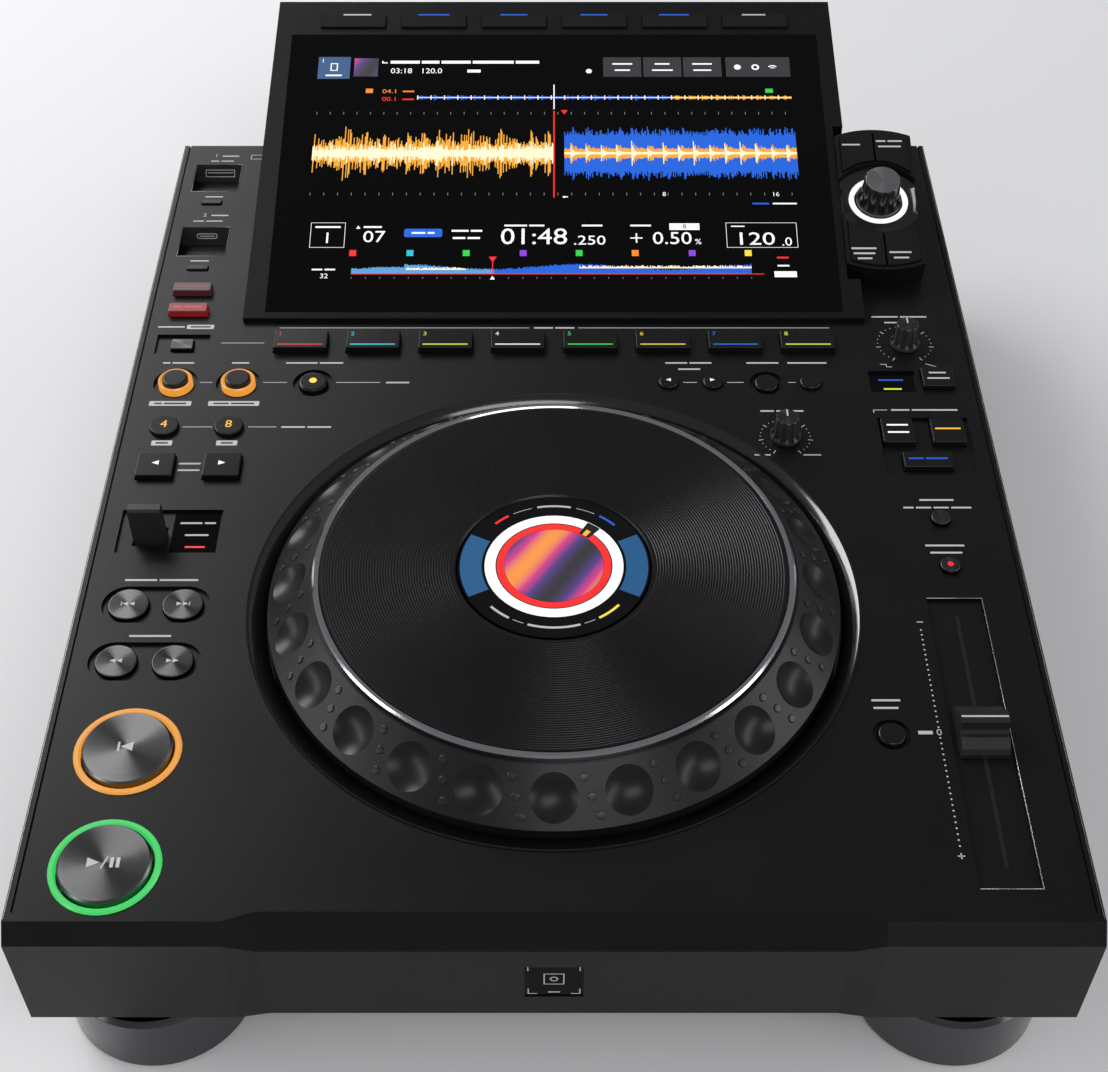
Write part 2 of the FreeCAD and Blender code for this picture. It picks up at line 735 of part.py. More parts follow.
JACKS = ["jack_x - %d * jack_pitch" % index for index in range(3)]
for x in JACKS:
    tray_holes.append(back_rod(x, "deck_deep - 10", "-rear_row_drop", "jack_base_radius + fit_gap", "20"))
node("lower_case", cut(fuse([floor_piece, rear_piece] + standoffs), tray_holes))

# Rear connectors, each seated in the rear panel
inlet = cut(block("inlet_x", "deck_deep - 8", "-rear_row_drop - 9.8", "27", "19", "19.6"),
            [block("inlet_x", "deck_deep - 4", "-rear_row_drop - 7.8", "23", "18", "15.6")])
network = cut(block("15", "deck_deep - 7", "-rear_row_drop - 6.5", "15.6", "15", "13"),
              [block("15", "deck_deep - 5", "-rear_row_drop - 4.2", "11.8", "16", "8.4")])
computer = cut(block("-15", "deck_deep - 7", "-rear_row_drop - 5.5", "12", "15", "11"),
               [block("-15", "deck_deep - 5", "-rear_row_drop - 3.9", "8.4", "16", "7.8")])
jacks = []
for x in JACKS:
    base = back_rod(x, "deck_deep - 8", "-rear_row_drop", "jack_base_radius", "8 + jack_base_reach")
    barrel = back_rod(x, "deck_deep", "-rear_row_drop", "jack_radius", "jack_reach")
    jacks.append(cut(fuse([base, barrel]), [back_rod(x, "deck_deep - 1", "-rear_row_drop", "jack_bore", "20")]))
node("rear_connectors", group([inlet, network, computer] + jacks))

# Power switch: a rocker on a lengthwise axis behind the panel face
rocker = body()
padded(rocker, "YZ_Plane", [
    ("-switch_thick", "-switch_tall / 2 + 1.5"),
    ("0.6", "-switch_tall / 2 + 0.4"),
    ("-0.4", "0"),
    ("0.6", "switch_tall / 2 - 0.4"),
    ("-switch_thick", "switch_tall / 2 - 1.5"),
], "switch_wide")
place(rocker, "switch_x", "deck_deep", "-rear_row_drop")
node("power_switch", rocker)

# Feet: turned drums, each on a neck
foot = []
for sign in ("-", "1 * "):
    for y in ("foot_front_y", "foot_rear_y"):
        drum = body()
        turned(drum, [
            ("0", "-foot_tall"),
            ("foot_radius - foot_chamfer", "-foot_tall"),
            ("foot_radius", "-foot_tall + foot_chamfer"),
            ("foot_radius", "-foot_neck_tall - foot_chamfer"),
            ("foot_radius - foot_chamfer", "-foot_neck_tall"),
            ("foot_neck_radius", "-foot_neck_tall"),
            ("foot_neck_radius", "0"),
            ("0", "0"),
        ])
        place(drum, "%sfoot_x" % sign, y, "-case_tall")
        foot.append(drum)
node("feet", group(foot))

# Screws: six pan heads under the tray
screws = []
for x, y in POSTS:
    screws.append(fuse([
        rod(x, y, "-case_tall", "screw_radius", "screw_long"),
        rod(x, y, "-case_tall - screw_head_tall", "screw_head_radius", "screw_head_tall"),
    ]))
node("screws", group(screws))

# Boards: control board with potentiometers and fader track, main board, power supply
control = block("0", BOARD_Y, "-board_drop", "2 * board_half", "board_rear_y - board_front_y", "board_thick")
track_base = "(board_thick - board_drop)"
track = cut(block("fader_x", "fader_y", track_base, "track_wide", "fader_stroke + 16", "track_tall"),
            [block("fader_x", "fader_y", track_base + " + 1.5", "fader_slot_wide",
                   "fader_stroke + fader_stem_deep + 2", "track_tall")])
pots = []
for x, y in KNOBS.values():
    pots.append(block(x, y, track_base, "pot_wide", "pot_wide", "pot_tall"))
supply = block("-standoff_x + 70", "board_rear_y - 60", "-case_tall + sheet_thick", "supply_wide",
               "supply_deep", "supply_tall")
node("circuit_boards", group([fuse([control, track] + pots), supply]))

# Jog bezel with its pan, spindle with the round display
bezel = body()
turned(bezel, [
    ("0", "-pan_drop - pan_thick"),
    ("bezel_radius + bezel_flange", "-pan_drop - pan_thick"),
    ("bezel_radius + bezel_flange", "-deck_thick"),
    ("bezel_radius", "-deck_thick"),
    ("bezel_radius", "0.3"),
    ("bezel_radius - 0.8", "0.3"),
    ("bezel_inner", "-bezel_drop"),
    ("bezel_inner", "-pan_drop"),
    ("0", "-pan_drop"),
])
place(bezel, "0", "jog_y")
node("jog_bezel", bezel)

spindle = body()
turned(spindle, [
    ("0", "-pan_drop"),
    ("spindle_foot_radius", "-pan_drop"),
    ("spindle_foot_radius", "spindle_foot_thick - pan_drop"),
    ("spindle_radius", "spindle_foot_thick - pan_drop"),
    ("spindle_radius", "display_rise - display_thick - 1"),
    ("display_radius", "display_rise - display_thick"),
    ("display_radius", "display_rise"),
    ("0", "display_rise"),
])
place(spindle, "0", "jog_y")
node("jog_display", spindle)

# Jog wheel: dimpled cone, skirt, web and hub in one moulding
web_top = "jog_web_rise + jog_web_thick"
wheel = body()
turned(wheel, [
    ("spindle_radius + spindle_play", "spindle_foot_thick - pan_drop + flange_gap"),
    ("hub_radius", "spindle_foot_thick - pan_drop + flange_gap"),
    ("hub_radius", "jog_web_rise"),
    ("jog_top_radius + 1", "jog_web_rise"),
    ("jog_radius - jog_skirt_wall", "jog_rim_rise - 5"),
    ("jog_radius - jog_skirt_wall", "-jog_skirt_drop"),
    ("jog_radius", "-jog_skirt_drop"),
    ("jog_radius", "jog_rim_rise"),
    ("jog_top_radius", "jog_face_rise"),
    ("trim_radius + fit_gap / 2", "jog_face_rise"),
    ("trim_radius + fit_gap / 2", "plate_rise - plate_thick"),
    ("trim_radius - trim_wide - 5", "plate_rise - plate_thick"),
    ("trim_radius - trim_wide - 5", web_top),
    ("window_radius + 4", web_top),
    ("window_radius + 4", "plate_rise - plate_thick"),
    ("window_radius + 1", "plate_rise - plate_thick"),
    ("window_radius + 1", web_top),
    ("spindle_radius + spindle_play", web_top),
])
slope = math.atan2(SIZES["jog_face_rise"] - SIZES["jog_rim_rise"], SIZES["jog_radius"] - SIZES["jog_top_radius"])
ball = (SIZES["dimple_radius"] ** 2 + SIZES["dimple_deep"] ** 2) / (2 * SIZES["dimple_deep"])
sink = ball - SIZES["dimple_deep"]
dimple = wheel.newObject("PartDesign::SubtractiveSphere", "Dimple")
dimple.Radius = ball
shift(dimple, "0", "-(jog_radius + jog_top_radius) / 2 - %.6f" % (sink * math.sin(slope)),
      "(jog_rim_rise + jog_face_rise) / 2 + %.6f" % (sink * math.cos(slope)))
dimples = wheel.newObject("PartDesign::PolarPattern", "Dimples")
dimples.Originals = [dimple]
dimples.Axis = ([part for part in wheel.Origin.OriginFeatures if part.Role == "Z_Axis"][0], [""])
dimples.Angle = 360
bind(dimples, Occurrences="dimple_count")
wheel.Tip = dimples
place(wheel, "0", "jog_y")
node("jog_wheel", wheel)

trim = body()
turned(trim, [
    ("trim_radius - trim_wide", "plate_rise - plate_thick"),
    ("trim_radius", "plate_rise - plate_thick"),
    ("trim_radius", "trim_rise - 0.7"),
    ("trim_radius - 0.7", "trim_rise"),
    ("trim_radius - trim_wide + 0.5", "trim_rise"),
    ("trim_radius - trim_wide", "trim_rise - 0.5"),
])
place(trim, "0", "jog_y")
node("jog_trim_ring", trim)

plate = body()
turned(plate, [
    ("window_radius", "plate_rise - plate_thick"),
    ("trim_radius - trim_wide - fit_gap / 2", "plate_rise - plate_thick"),
    ("trim_radius - trim_wide - fit_gap / 2", "plate_rise"),
    ("window_radius + 0.6", "plate_rise"),
    ("window_radius", "plate_rise - 0.6"),
])
place(plate, "0", "jog_y")
node("jog_top_plate", plate)

# Light rings of the cue, play and loop buttons; the pod's ring joins them further on
rings = []


def light_ring(x, y, outer, inner, low, rise):
    ring = body()
    turned(ring, [
        (inner, low),
        (outer, low),
        (outer, "(%s) - 0.5" % rise),
        ("(%s) - 0.5" % outer, rise),
        ("(%s) + 0.5" % inner, rise),
        (inner, "(%s) - 0.5" % rise),
    ])
    return ring


for y in BIG.values():
    ring = light_ring("big_x", y, "ring_outer", "ring_inner", "-ring_seat", "ring_rise")
    place(ring, "big_x", y)
    rings.append(ring)
for x in LOOPS.values():
    ring = light_ring(x, "loop_y", "loop_ring_outer", "loop_ring_inner", "-ring_seat - 0.4", "loop_ring_rise")
    place(ring, x, "loop_y")
    rings.append(ring)

# Buttons and keys
DOMES = ("reloop_key", "delete_key", "memory_key", "tempo_reset_key", "call_back_key", "call_forward_key")
for label, y in BIG.items():
    round_key(label, "big_x", y, "big_cap_radius", "big_cap_rise", ease="0.6", style="Chamfer")
for label, x in LOOPS.items():
    round_key(label, x, "loop_y", "loop_cap_radius", "loop_cap_rise", ease="0.8")
for label in ROUND_KEYS:
    round_key(label, label + "_x", label + "_y", label + "_radius", label + "_rise - " + label + "_floor",
              ease="0.9" if label in DOMES else "key_edge")
for label in RECT_KEYS:
    rect_key(label, label + "_x", label + "_y", label + "_wide", label + "_deep", label + "_rise - "
             + label + "_floor")
for index, letter in enumerate(PADS):
    rect_key("hot_cue_pad_" + letter, "(%d - 3.5) * pad_pitch" % index, "pad_y", "pad_wide", "pad_deep",
             "pad_rise")

# Stop keys: two slim bars that share one node
stops = []
for y in STOPS:
    stop = body()
    rect_cap(stop, "stop_wide", "stop_deep", "stop_rise")
    place(stop, "usb_x", y + " - usb_bay_deep / 2 - stop_gap")
    stops.append(stop)
node("stop_keys", group(stops))

# Tempo fader: ridged cap with sloping lobes on a flat stem
fader = body()
half = "fader_cap_deep / 2"
ridge = "fader_ridge / 2"
cap = padded(fader, "YZ_Plane", [
    ("0 - " + half, "fader_lobe_edge"),
    ("0 - %s + 1" % half, "fader_lobe_edge + 1.6"),
    ("0 - %s - 2.4" % ridge, "fader_lobe_rise"),
    ("0 - %s - 0.9" % ridge, "fader_lobe_rise - 0.2"),
    ("0 - %s" % ridge, "fader_lobe_rise + 0.8"),
    ("0 - %s + 0.3" % ridge, "fader_cap_rise"),
    (ridge + " - 0.3", "fader_cap_rise"),
    (ridge, "fader_lobe_rise + 0.8"),
    (ridge + " + 0.9", "fader_lobe_rise - 0.2"),
    (ridge + " + 2.4", "fader_lobe_rise"),
    (half + " - 1", "fader_lobe_edge + 1.6"),
    (half, "fader_lobe_edge"),
    (half, "0 - recess_deep + flange_gap"),
    ("0 - " + half, "0 - recess_deep + flange_gap"),
], "fader_cap_wide")
add_block(fader, "0", "0", "track_tall - board_drop - 2", "fader_stem_wide", "fader_stem_deep",
          "board_drop + 3 - track_tall")
place(fader, "fader_x", "fader_y")
node("tempo_fader", fader)

# Direction lever on its cross pin
lever = body()
padded(lever, "YZ_Plane", [
    ("-lever_thick / 2", "-lever_tail"),
    ("lever_thick / 2", "-lever_tail"),
    ("lever_thick / 2", "lever_pivot_drop + lever_rise - 0.8"),
    ("lever_thick / 2 - 0.8", "lever_pivot_drop + lever_rise"),
    ("-lever_thick / 2 + 0.8", "lever_pivot_drop + lever_rise"),
    ("-lever_thick / 2", "lever_pivot_drop + lever_rise - 0.8"),
], "lever_wide")
pin = lever.newObject("PartDesign::AdditiveCylinder", "Pin")
bind(pin, Radius="lever_pin_radius", Height="lever_wide + 2 * key_gap + 2 * lever_lug_thick")
pin.Placement.Rotation = FreeCAD.Rotation(FreeCAD.Vector(0, 1, 0), 90)
shift(pin, "-lever_wide / 2 - key_gap - lever_lug_thick")
place(lever, "lever_x", "lever_y", "-lever_pivot_drop")
node("direction_lever", lever)

# Small knobs: fluted cones on shafts that reach their potentiometers
for label, (x, y) in KNOBS.items():
    knob = body()
    turned(knob, [
        ("0", "0 - knob_lift - board_drop + board_thick + pot_tall + flange_gap"),
        ("shaft_radius", "0 - knob_lift - board_drop + board_thick + pot_tall + flange_gap"),
        ("shaft_radius", "0"),
        ("knob_base", "0"),
        ("knob_base", "1.2"),
        ("knob_top + 0.4", "2.4"),
        ("knob_top", "knob_tall - 0.4"),
        ("knob_top - 0.4", "knob_tall"),
        ("0", "knob_tall"),
    ])
    flutes(knob, "knob_flutes", "flute_radius", "knob_top + flute_radius * 0.6", "knob_tall")
    place(knob, x, y, "knob_lift")
    node(label, knob)

# Screen housing: drafted wedge that leans over the rear edge, hollow, open to the deck
RUN = "screen_run"
CLIMB = "(screen_climb + screen_skirt)"


housing_form = body()
padded(housing_form, "YZ_Plane", [
    ("0", "0"),
    ("0", "screen_skirt"),
    (RUN, CLIMB),
    (RUN, CLIMB + " - screen_back_tall"),
    ("deck_deep - screen_y - 4", "0"),
], "2 * screen_half")
place(housing_form, "0", "screen_y")

hollow = body()
padded(hollow, "YZ_Plane", [
    ("30", "-1"),
    ("30", "screen_skirt + 30 * tan(screen_tilt) - glass_thick - panel_thick - screen_wall"),
    (RUN + " - screen_wall - 2", CLIMB + " - glass_thick - panel_thick - screen_wall - 1"),
    (RUN + " - screen_wall - 2", CLIMB + " - screen_back_tall + screen_wall"),
    ("deck_deep - screen_y - 4 - screen_wall", "screen_wall * 0.4"),
    ("deck_deep - screen_y - 4 - screen_wall", "-1"),
], "2 * screen_half - 8 * screen_wall")
place(hollow, "0", "screen_y")

draft = []
for sign in (-1, 1):
    wedge = body()
    padded(wedge, "XZ_Plane", [
        ("%d * screen_half" % sign, "0"),
        ("%d * (screen_half + 9)" % sign, "0"),
        ("%d * (screen_half + 9)" % sign, CLIMB + " + 5"),
        ("%d * (screen_half - (screen_half - screen_top_half) * (%s + 5) / %s)" % (sign, CLIMB, CLIMB),
         CLIMB + " + 5"),
    ], "2 * screen_run + 20", middle=True)
    place(wedge, "0", "screen_y")
    draft.append(wedge)


def slope_block(x, along, z, wide, long, tall):
    """A box in the flat plan of the sloping face, centred on x and on its place along the slope."""
    return block(x, along, z, wide, long, tall, put=shift)


GLASS_MIDDLE = "(glass_from + glass_long / 2)"
POD_MIDDLE = "(pod_from + pod_long / 2)"
slope_cuts = [
    slope_block("0", GLASS_MIDDLE, "-glass_thick", "glass_wide + fit_gap", "glass_long + fit_gap", "9"),
    slope_block("0", GLASS_MIDDLE, "-glass_thick - panel_thick - fit_gap",
                "glass_wide - 2 * panel_margin + fit_gap", "glass_long - 2 * panel_margin + fit_gap", "9"),
    slope_block("pod_x", POD_MIDDLE, "-60", "pod_wide + fit_gap * 2", "pod_long + fit_gap * 2 + 2 * pod_bulge", "90"),
]
MENU_X = ["(%d - 2.5) * menu_key_pitch" % index for index in range(6)]
for x in MENU_X:
    slope_cuts.append(slope_block(x, "menu_key_from", "-2.4", "menu_key_wide + 2 * key_gap",
                                  "menu_key_deep + 2 * key_gap", "9"))
flat_cut = fuse(slope_cuts)
lean(flat_cut)
node("screen_housing", cut(housing_form, [hollow, flat_cut] + draft))

# Touch screen: bonded glass and the display panel behind it
glass = slope_block("0", GLASS_MIDDLE, "-glass_thick", "glass_wide", "glass_long", "glass_thick")
panel = slope_block("0", GLASS_MIDDLE, "-glass_thick - panel_thick", "glass_wide - 2 * panel_margin",
                    "glass_long - 2 * panel_margin", "panel_thick")
touch = fuse([glass, panel])
lean(touch)
node("touch_screen", touch)

# Menu keys: six caps on one moulded strip
menu = []
for x in MENU_X:
    menu.append(slope_block(x, "menu_key_from", "-1.1", "menu_key_wide", "menu_key_deep", "menu_key_rise + 1.1"))
menu_keys = group(menu)
lean(menu_keys)
node("menu_keys", menu_keys)

# Selector pod: rounded housing with the dish and the wells for its keys
POD_HALF = "(pod_wide / 2)"
END = "((pod_wide * pod_wide / 4 + pod_bulge * pod_bulge) / (2 * pod_bulge))"


def pod_form(inset, low, tall):
    """A bar with bulging ends: a box whose ends are trimmed by two large rods."""
    bar = slope_block("pod_x", POD_MIDDLE, low, "pod_wide - 2 * (%s)" % inset,
                      "pod_long + 2 * pod_bulge - 2 * (%s)" % inset, tall)
    reach = "(pod_long / 2 + pod_bulge)"
    front = rod("pod_x", "%s - %s + %s" % (POD_MIDDLE, reach, END), low, "%s - (%s)" % (END, inset), tall, put=shift)
    rear = rod("pod_x", "%s + %s - %s" % (POD_MIDDLE, reach, END), low, "%s - (%s)" % (END, inset), tall, put=shift)
    lens = doc.addObject("Part::MultiCommon", "Lens")
    lens.Shapes = [bar, front, rear]
    return lens


pod_outer = pod_form("0", "-32", "32 + pod_rise")
lean(pod_outer)
under_deck = block("pod_x", "screen_y + 60", "-60", "pod_wide + 10", "160", "60")
dish = rod("pod_x", "pod_middle", "pod_rise - pod_dish_deep", "pod_dish_radius", "9", put=shift)
ring_seat = rod("pod_x", "pod_middle", "pod_rise - pod_dish_deep - 1", "pod_ring_outer + fit_gap / 2", "9", put=shift)
shaft_hole = rod("pod_x", "pod_middle", "pod_rise - 14", "shaft_radius + shaft_play", "19", put=shift)
well_form = pod_form("pod_wall", "pod_rise - pod_well_deep", "9")
core = rod("pod_x", "pod_middle", "pod_rise - 9", "pod_dish_radius + 0.6", "19", put=shift)
wells = cut(well_form, [core])
pod_cuts = fuse([dish, ring_seat, shaft_hole, wells])
lean(pod_cuts)
node("selector_pod", cut(pod_outer, [under_deck, pod_cuts]))

pod_ring = body()
turned(pod_ring, [
    ("pod_ring_inner", "0"),
    ("pod_ring_outer", "0"),
    ("pod_ring_outer", "pod_ring_rise - 0.4"),
    ("pod_ring_outer - 0.4", "pod_ring_rise"),
    ("pod_ring_inner", "pod_ring_rise"),
])
SLOPE_Y = "screen_y + (%s) * cos(screen_tilt) - (%s) * sin(screen_tilt)"
SLOPE_Z = "screen_skirt + (%s) * sin(screen_tilt) + (%s) * cos(screen_tilt)"


def on_slope(thing, x, along, lift):
    """Puts a piece on the sloping face, at a place along the slope and a lift square to it."""
    thing.Placement.Rotation = FreeCAD.Rotation(FreeCAD.Vector(1, 0, 0), 1)
    thing.setExpression("Placement.Rotation.Angle", formula("screen_tilt"))
    place(thing, x, SLOPE_Y % (along, lift), SLOPE_Z % (along, lift))


on_slope(pod_ring, "pod_x", "pod_middle", "pod_rise - pod_dish_deep - 1")
rings.append(pod_ring)
node("light_rings", group(rings))

# Pod keys: each pair fills one end of the pod, split in the middle
for label, end in (("pod_rear_keys", 1), ("pod_front_keys", -1)):
    halves = []
    for side in (-1, 1):
        form = pod_form("pod_wall + key_gap", "pod_rise + pod_key_rise - pod_key_thick", "pod_key_thick")
        keep = slope_block("pod_x + %d * (0.4 + pod_wide / 2)" % side,
                           "pod_middle + %d * (1 + pod_long / 2)" % end, "-9", "pod_wide", "pod_long", "19")
        clear = rod("pod_x", "pod_middle", "pod_rise - 9", "pod_dish_radius + 0.6 + key_gap", "19", put=shift)
        common = doc.addObject("Part::MultiCommon", "KeyForm")
        common.Shapes = [form, keep]
        halves.append(cut(common, [clear]))
    pair = group(halves)
    lean(pair)
    node(label, pair)

browse = body()
turned(browse, [
    ("0", "-9"),
    ("shaft_radius", "-9"),
    ("shaft_radius", "0"),
    ("browse_base", "0"),
    ("browse_base", "1.2"),
    ("browse_top + 0.9", "3"),
    ("browse_top", "browse_tall - 0.5"),
    ("browse_top - 0.5", "browse_tall"),
    ("0", "browse_tall"),
])
flutes(browse, "browse_flutes", "flute_radius + 0.4", "browse_top + flute_radius * 0.9", "browse_tall")
on_slope(browse, "pod_x", "pod_middle", "pod_rise - pod_dish_deep + flange_gap")
node("browse_knob", browse)

# Checks, then one file for each sub-part
doc.recompute()
for thing in doc.Objects:
    if "Invalid" in thing.State or "Error" in thing.State:
        raise RuntimeError("failed feature: %s %s" % (thing.Name, thing.State))
os.makedirs("parts", exist_ok=True)
for piece in NODES:
    shape = piece.Shape
    if shape.isNull() or not shape.isValid() or not shape.Solids:
        raise RuntimeError("bad shape: " + piece.Label)
    shape.exportStep("parts/%s.step" % piece.Label)
    print("%-20s solids %2d volume %10.1f" % (piece.Label, len(shape.Solids), shape.Volume))
whole = Part.makeCompound([piece.Shape for piece in NODES]).BoundBox
print("size %.2f %.2f %.2f" % (whole.XLength, whole.YLength, whole.ZLength))
print("from %.2f %.2f %.2f" % (whole.XMin, whole.YMin, whole.ZMin))
print("nodes", len(NODES))
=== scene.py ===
import math
import random

import bpy
from mathutils import Matrix, Vector


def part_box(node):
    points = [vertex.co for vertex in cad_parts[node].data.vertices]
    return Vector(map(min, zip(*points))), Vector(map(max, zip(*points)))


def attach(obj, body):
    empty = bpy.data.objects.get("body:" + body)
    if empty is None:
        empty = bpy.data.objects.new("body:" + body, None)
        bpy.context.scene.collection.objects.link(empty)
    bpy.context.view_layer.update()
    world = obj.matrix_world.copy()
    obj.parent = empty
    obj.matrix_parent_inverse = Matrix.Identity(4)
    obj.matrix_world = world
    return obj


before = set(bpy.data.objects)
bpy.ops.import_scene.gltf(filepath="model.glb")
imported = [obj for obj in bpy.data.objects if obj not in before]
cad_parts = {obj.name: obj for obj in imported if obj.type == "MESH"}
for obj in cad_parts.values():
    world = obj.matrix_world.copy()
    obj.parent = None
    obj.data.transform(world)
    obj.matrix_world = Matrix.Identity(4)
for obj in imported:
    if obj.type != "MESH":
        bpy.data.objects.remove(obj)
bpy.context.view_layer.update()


# Table and studio
# The player stands on a plain pale table under large soft lamps, slim strips and a weak pale sky.
# The camera looks down at 46 degrees over the middle of the front edge.

def bare_material(name):
    """A new material, with its nodes, its links and its shader."""
    material = bpy.data.materials.new(name)
    material.use_nodes = True
    tree = material.node_tree
    return material, tree.nodes, tree.links, tree.nodes["Principled BSDF"]


def two_tones(nodes, low, high):
    """A node that blends one colour into another."""
    blend = nodes.new("ShaderNodeMix")
    blend.data_type = "RGBA"
    blend.inputs[6].default_value = (*low, 1)
    blend.inputs[7].default_value = (*high, 1)
    return blend


def table_finish():
    material, nodes, links, shader = bare_material("pale_table")
    shader.inputs["Roughness"].default_value = 0.85
    speckle = nodes.new("ShaderNodeTexNoise")
    speckle.inputs["Scale"].default_value = 60
    blend = two_tones(nodes, (0.80, 0.80, 0.81), (0.84, 0.84, 0.85))
    links.new(speckle.outputs["Fac"], blend.inputs[0])
    links.new(blend.outputs[2], shader.inputs["Base Color"])
    return material


table_mesh = bpy.data.meshes.new("table_top")
table_mesh.from_pydata([(-6, -6, 0), (6, -6, 0), (6, 6, 0), (-6, 6, 0)], [], [(0, 1, 2, 3)])
table_mesh.materials.append(table_finish())
table = bpy.data.objects.new("table_top", table_mesh)
bpy.context.collection.objects.link(table)

sky = bpy.data.worlds.new("pale_sky")
sky.use_nodes = True
sky.node_tree.nodes["Background"].inputs["Color"].default_value = (0.95, 0.97, 1.0, 1)
sky.node_tree.nodes["Background"].inputs["Strength"].default_value = 0.26
bpy.context.scene.world = sky


def soft_lamp(name, place, aim, wide, deep, watts):
    lamp = bpy.data.lights.new(name, "AREA")
    lamp.shape = "RECTANGLE"
    lamp.size = wide
    lamp.size_y = deep
    lamp.energy = watts
    holder = bpy.data.objects.new(name, lamp)
    holder.location = place
    holder.rotation_euler = (Vector(aim) - Vector(place)).to_track_quat("-Z", "Y").to_euler()
    bpy.context.collection.objects.link(holder)


soft_lamp("rear_left_softbox", (-1.05, 0.95, 1.15), (-0.05, 0.0, 0.05), 0.9, 0.7, 17)
soft_lamp("front_softbox", (0.35, -1.25, 1.5), (0, 0, 0.05), 1.2, 0.5, 8)
soft_lamp("right_strip", (1.25, -0.28, 0.56), (0.1, 0.0, 0.06), 1.5, 0.2, 5)
soft_lamp("left_strip", (-1.25, -0.28, 0.56), (-0.1, 0.0, 0.06), 1.5, 0.2, 5)
soft_lamp("left_sheen", (-0.58, 1.42, 0.95), (-0.13, 0.05, 0.08), 0.6, 0.4, 3.5)

eye = bpy.data.cameras.new("photo_camera")
eye.sensor_width = 36
eye.lens = 61.1
camera = bpy.data.objects.new("photo_camera", eye)
nose_reach = 0.0053
deck_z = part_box("upper_case")[1].z
front_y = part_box("upper_case")[0].y + nose_reach
eye_forward, eye_high, eye_turn = 0.3069, 0.4814, 44.1
camera.location = (0, front_y - eye_forward, deck_z + eye_high)
camera.rotation_euler = (math.radians(eye_turn), 0, 0)
bpy.context.collection.objects.link(camera)
bpy.context.scene.camera = camera
bpy.context.scene.view_settings.view_transform = "Standard"


# Lower case, screws and boards
# A folded steel tray with a powder coat carries the boards, and six blackened screws hold it
# to the posts of the upper case.

def moulded(name, colour, roughness, grain=0.15, grain_size=0.0007, metal=0.0, coat=0.0, patch=0.2,
            shine=0.3):
    """A paint or plastic with fine grain, and a colour and gloss that drift a little."""
    material, nodes, links, shader = bare_material(name)
    shader.inputs["Metallic"].default_value = metal
    shader.inputs["Coat Weight"].default_value = coat
    shader.inputs["Specular IOR Level"].default_value = shine
    shader.inputs["Coat Roughness"].default_value = 0.06
    where = nodes.new("ShaderNodeTexCoord")
    drift = nodes.new("ShaderNodeTexNoise")
    drift.inputs["Scale"].default_value = 28
    drift.inputs["Detail"].default_value = 4
    tint = two_tones(nodes, [part * (1 - patch) for part in colour], [min(1, part * (1 + patch)) for part in colour])
    gloss = nodes.new("ShaderNodeMapRange")
    gloss.inputs["To Min"].default_value = roughness * 0.88
    gloss.inputs["To Max"].default_value = roughness * 1.14
    fine = nodes.new("ShaderNodeTexNoise")
    fine.inputs["Scale"].default_value = 1 / grain_size
    bump = nodes.new("ShaderNodeBump")
    bump.inputs["Strength"].default_value = grain
    bump.inputs["Distance"].default_value = 0.0001
    links.new(where.outputs["Object"], drift.inputs["Vector"])
    links.new(where.outputs["Object"], fine.inputs["Vector"])
    links.new(drift.outputs["Fac"], tint.inputs[0])
    links.new(drift.outputs["Fac"], gloss.inputs["Value"])
    links.new(tint.outputs[2], shader.inputs["Base Color"])
    links.new(gloss.outputs["Result"], shader.inputs["Roughness"])
    links.new(fine.outputs["Fac"], bump.inputs["Height"])
    links.new(bump.outputs["Normal"], shader.inputs["Normal"])
    return material


def dress(material, *names):
    """Gives CAD nodes their finish."""
    for name in names:
        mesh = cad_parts[name].data
        mesh.materials.clear()
        mesh.materials.append(material)


dress(moulded("powder_steel", (0.010, 0.010, 0.0105), 0.55, 0.5, 0.0009), "lower_case")
dress(moulded("blackened_steel", (0.09, 0.09, 0.095), 0.35, 0.1, metal=1.0), "screws")
dress(moulded("board_green", (0.02, 0.10, 0.05), 0.45, 0.1), "circuit_boards")


# Feet
# Four heavy drums of dark turned metal on short necks, with a chamfered lower edge. Each is
# screwed to the tray from below.

def turned_metal(name, colour, roughness):
    """Dark metal with the fine lines of a lathe tool round an upright axis."""
    material, nodes, links, shader = bare_material(name)
    shader.inputs["Metallic"].default_value = 1.0
    shader.inputs["Base Color"].default_value = (*colour, 1)
    where = nodes.new("ShaderNodeTexCoord")
    squeeze = nodes.new("ShaderNodeMapping")
    along_scale, line_scale = 6, 2080
    squeeze.inputs["Scale"].default_value = (along_scale, along_scale, line_scale)
    lay = nodes.new("ShaderNodeTexNoise")
    lay.inputs["Scale"].default_value = 1
    lay.inputs["Detail"].default_value = 3
    gloss = nodes.new("ShaderNodeMapRange")
    gloss.inputs["To Min"].default_value = roughness * 0.6
    gloss.inputs["To Max"].default_value = roughness * 1.4
    bump = nodes.new("ShaderNodeBump")
    bump.inputs["Strength"].default_value = 0.25
    bump.inputs["Distance"].default_value = 0.0001
    links.new(where.outputs["Object"], squeeze.inputs["Vector"])
    links.new(squeeze.outputs["Vector"], lay.inputs["Vector"])
    links.new(lay.outputs["Fac"], gloss.inputs["Value"])
    links.new(gloss.outputs["Result"], shader.inputs["Roughness"])
    links.new(lay.outputs["Fac"], bump.inputs["Height"])
    links.new(bump.outputs["Normal"], shader.inputs["Normal"])
    return material


dress(turned_metal("foot_metal", (0.10, 0.101, 0.106), 0.2), "feet")


# Upper case
# One satin black moulding with a deep nose. Its long edges carry a painted highlight above a narrow
# groove, and the legends are printed on the deck in pale ink.

dress(moulded("case_satin", (0.0042, 0.0043, 0.0047), 0.36, 0.22, 0.0008, shine=0.22), "upper_case")


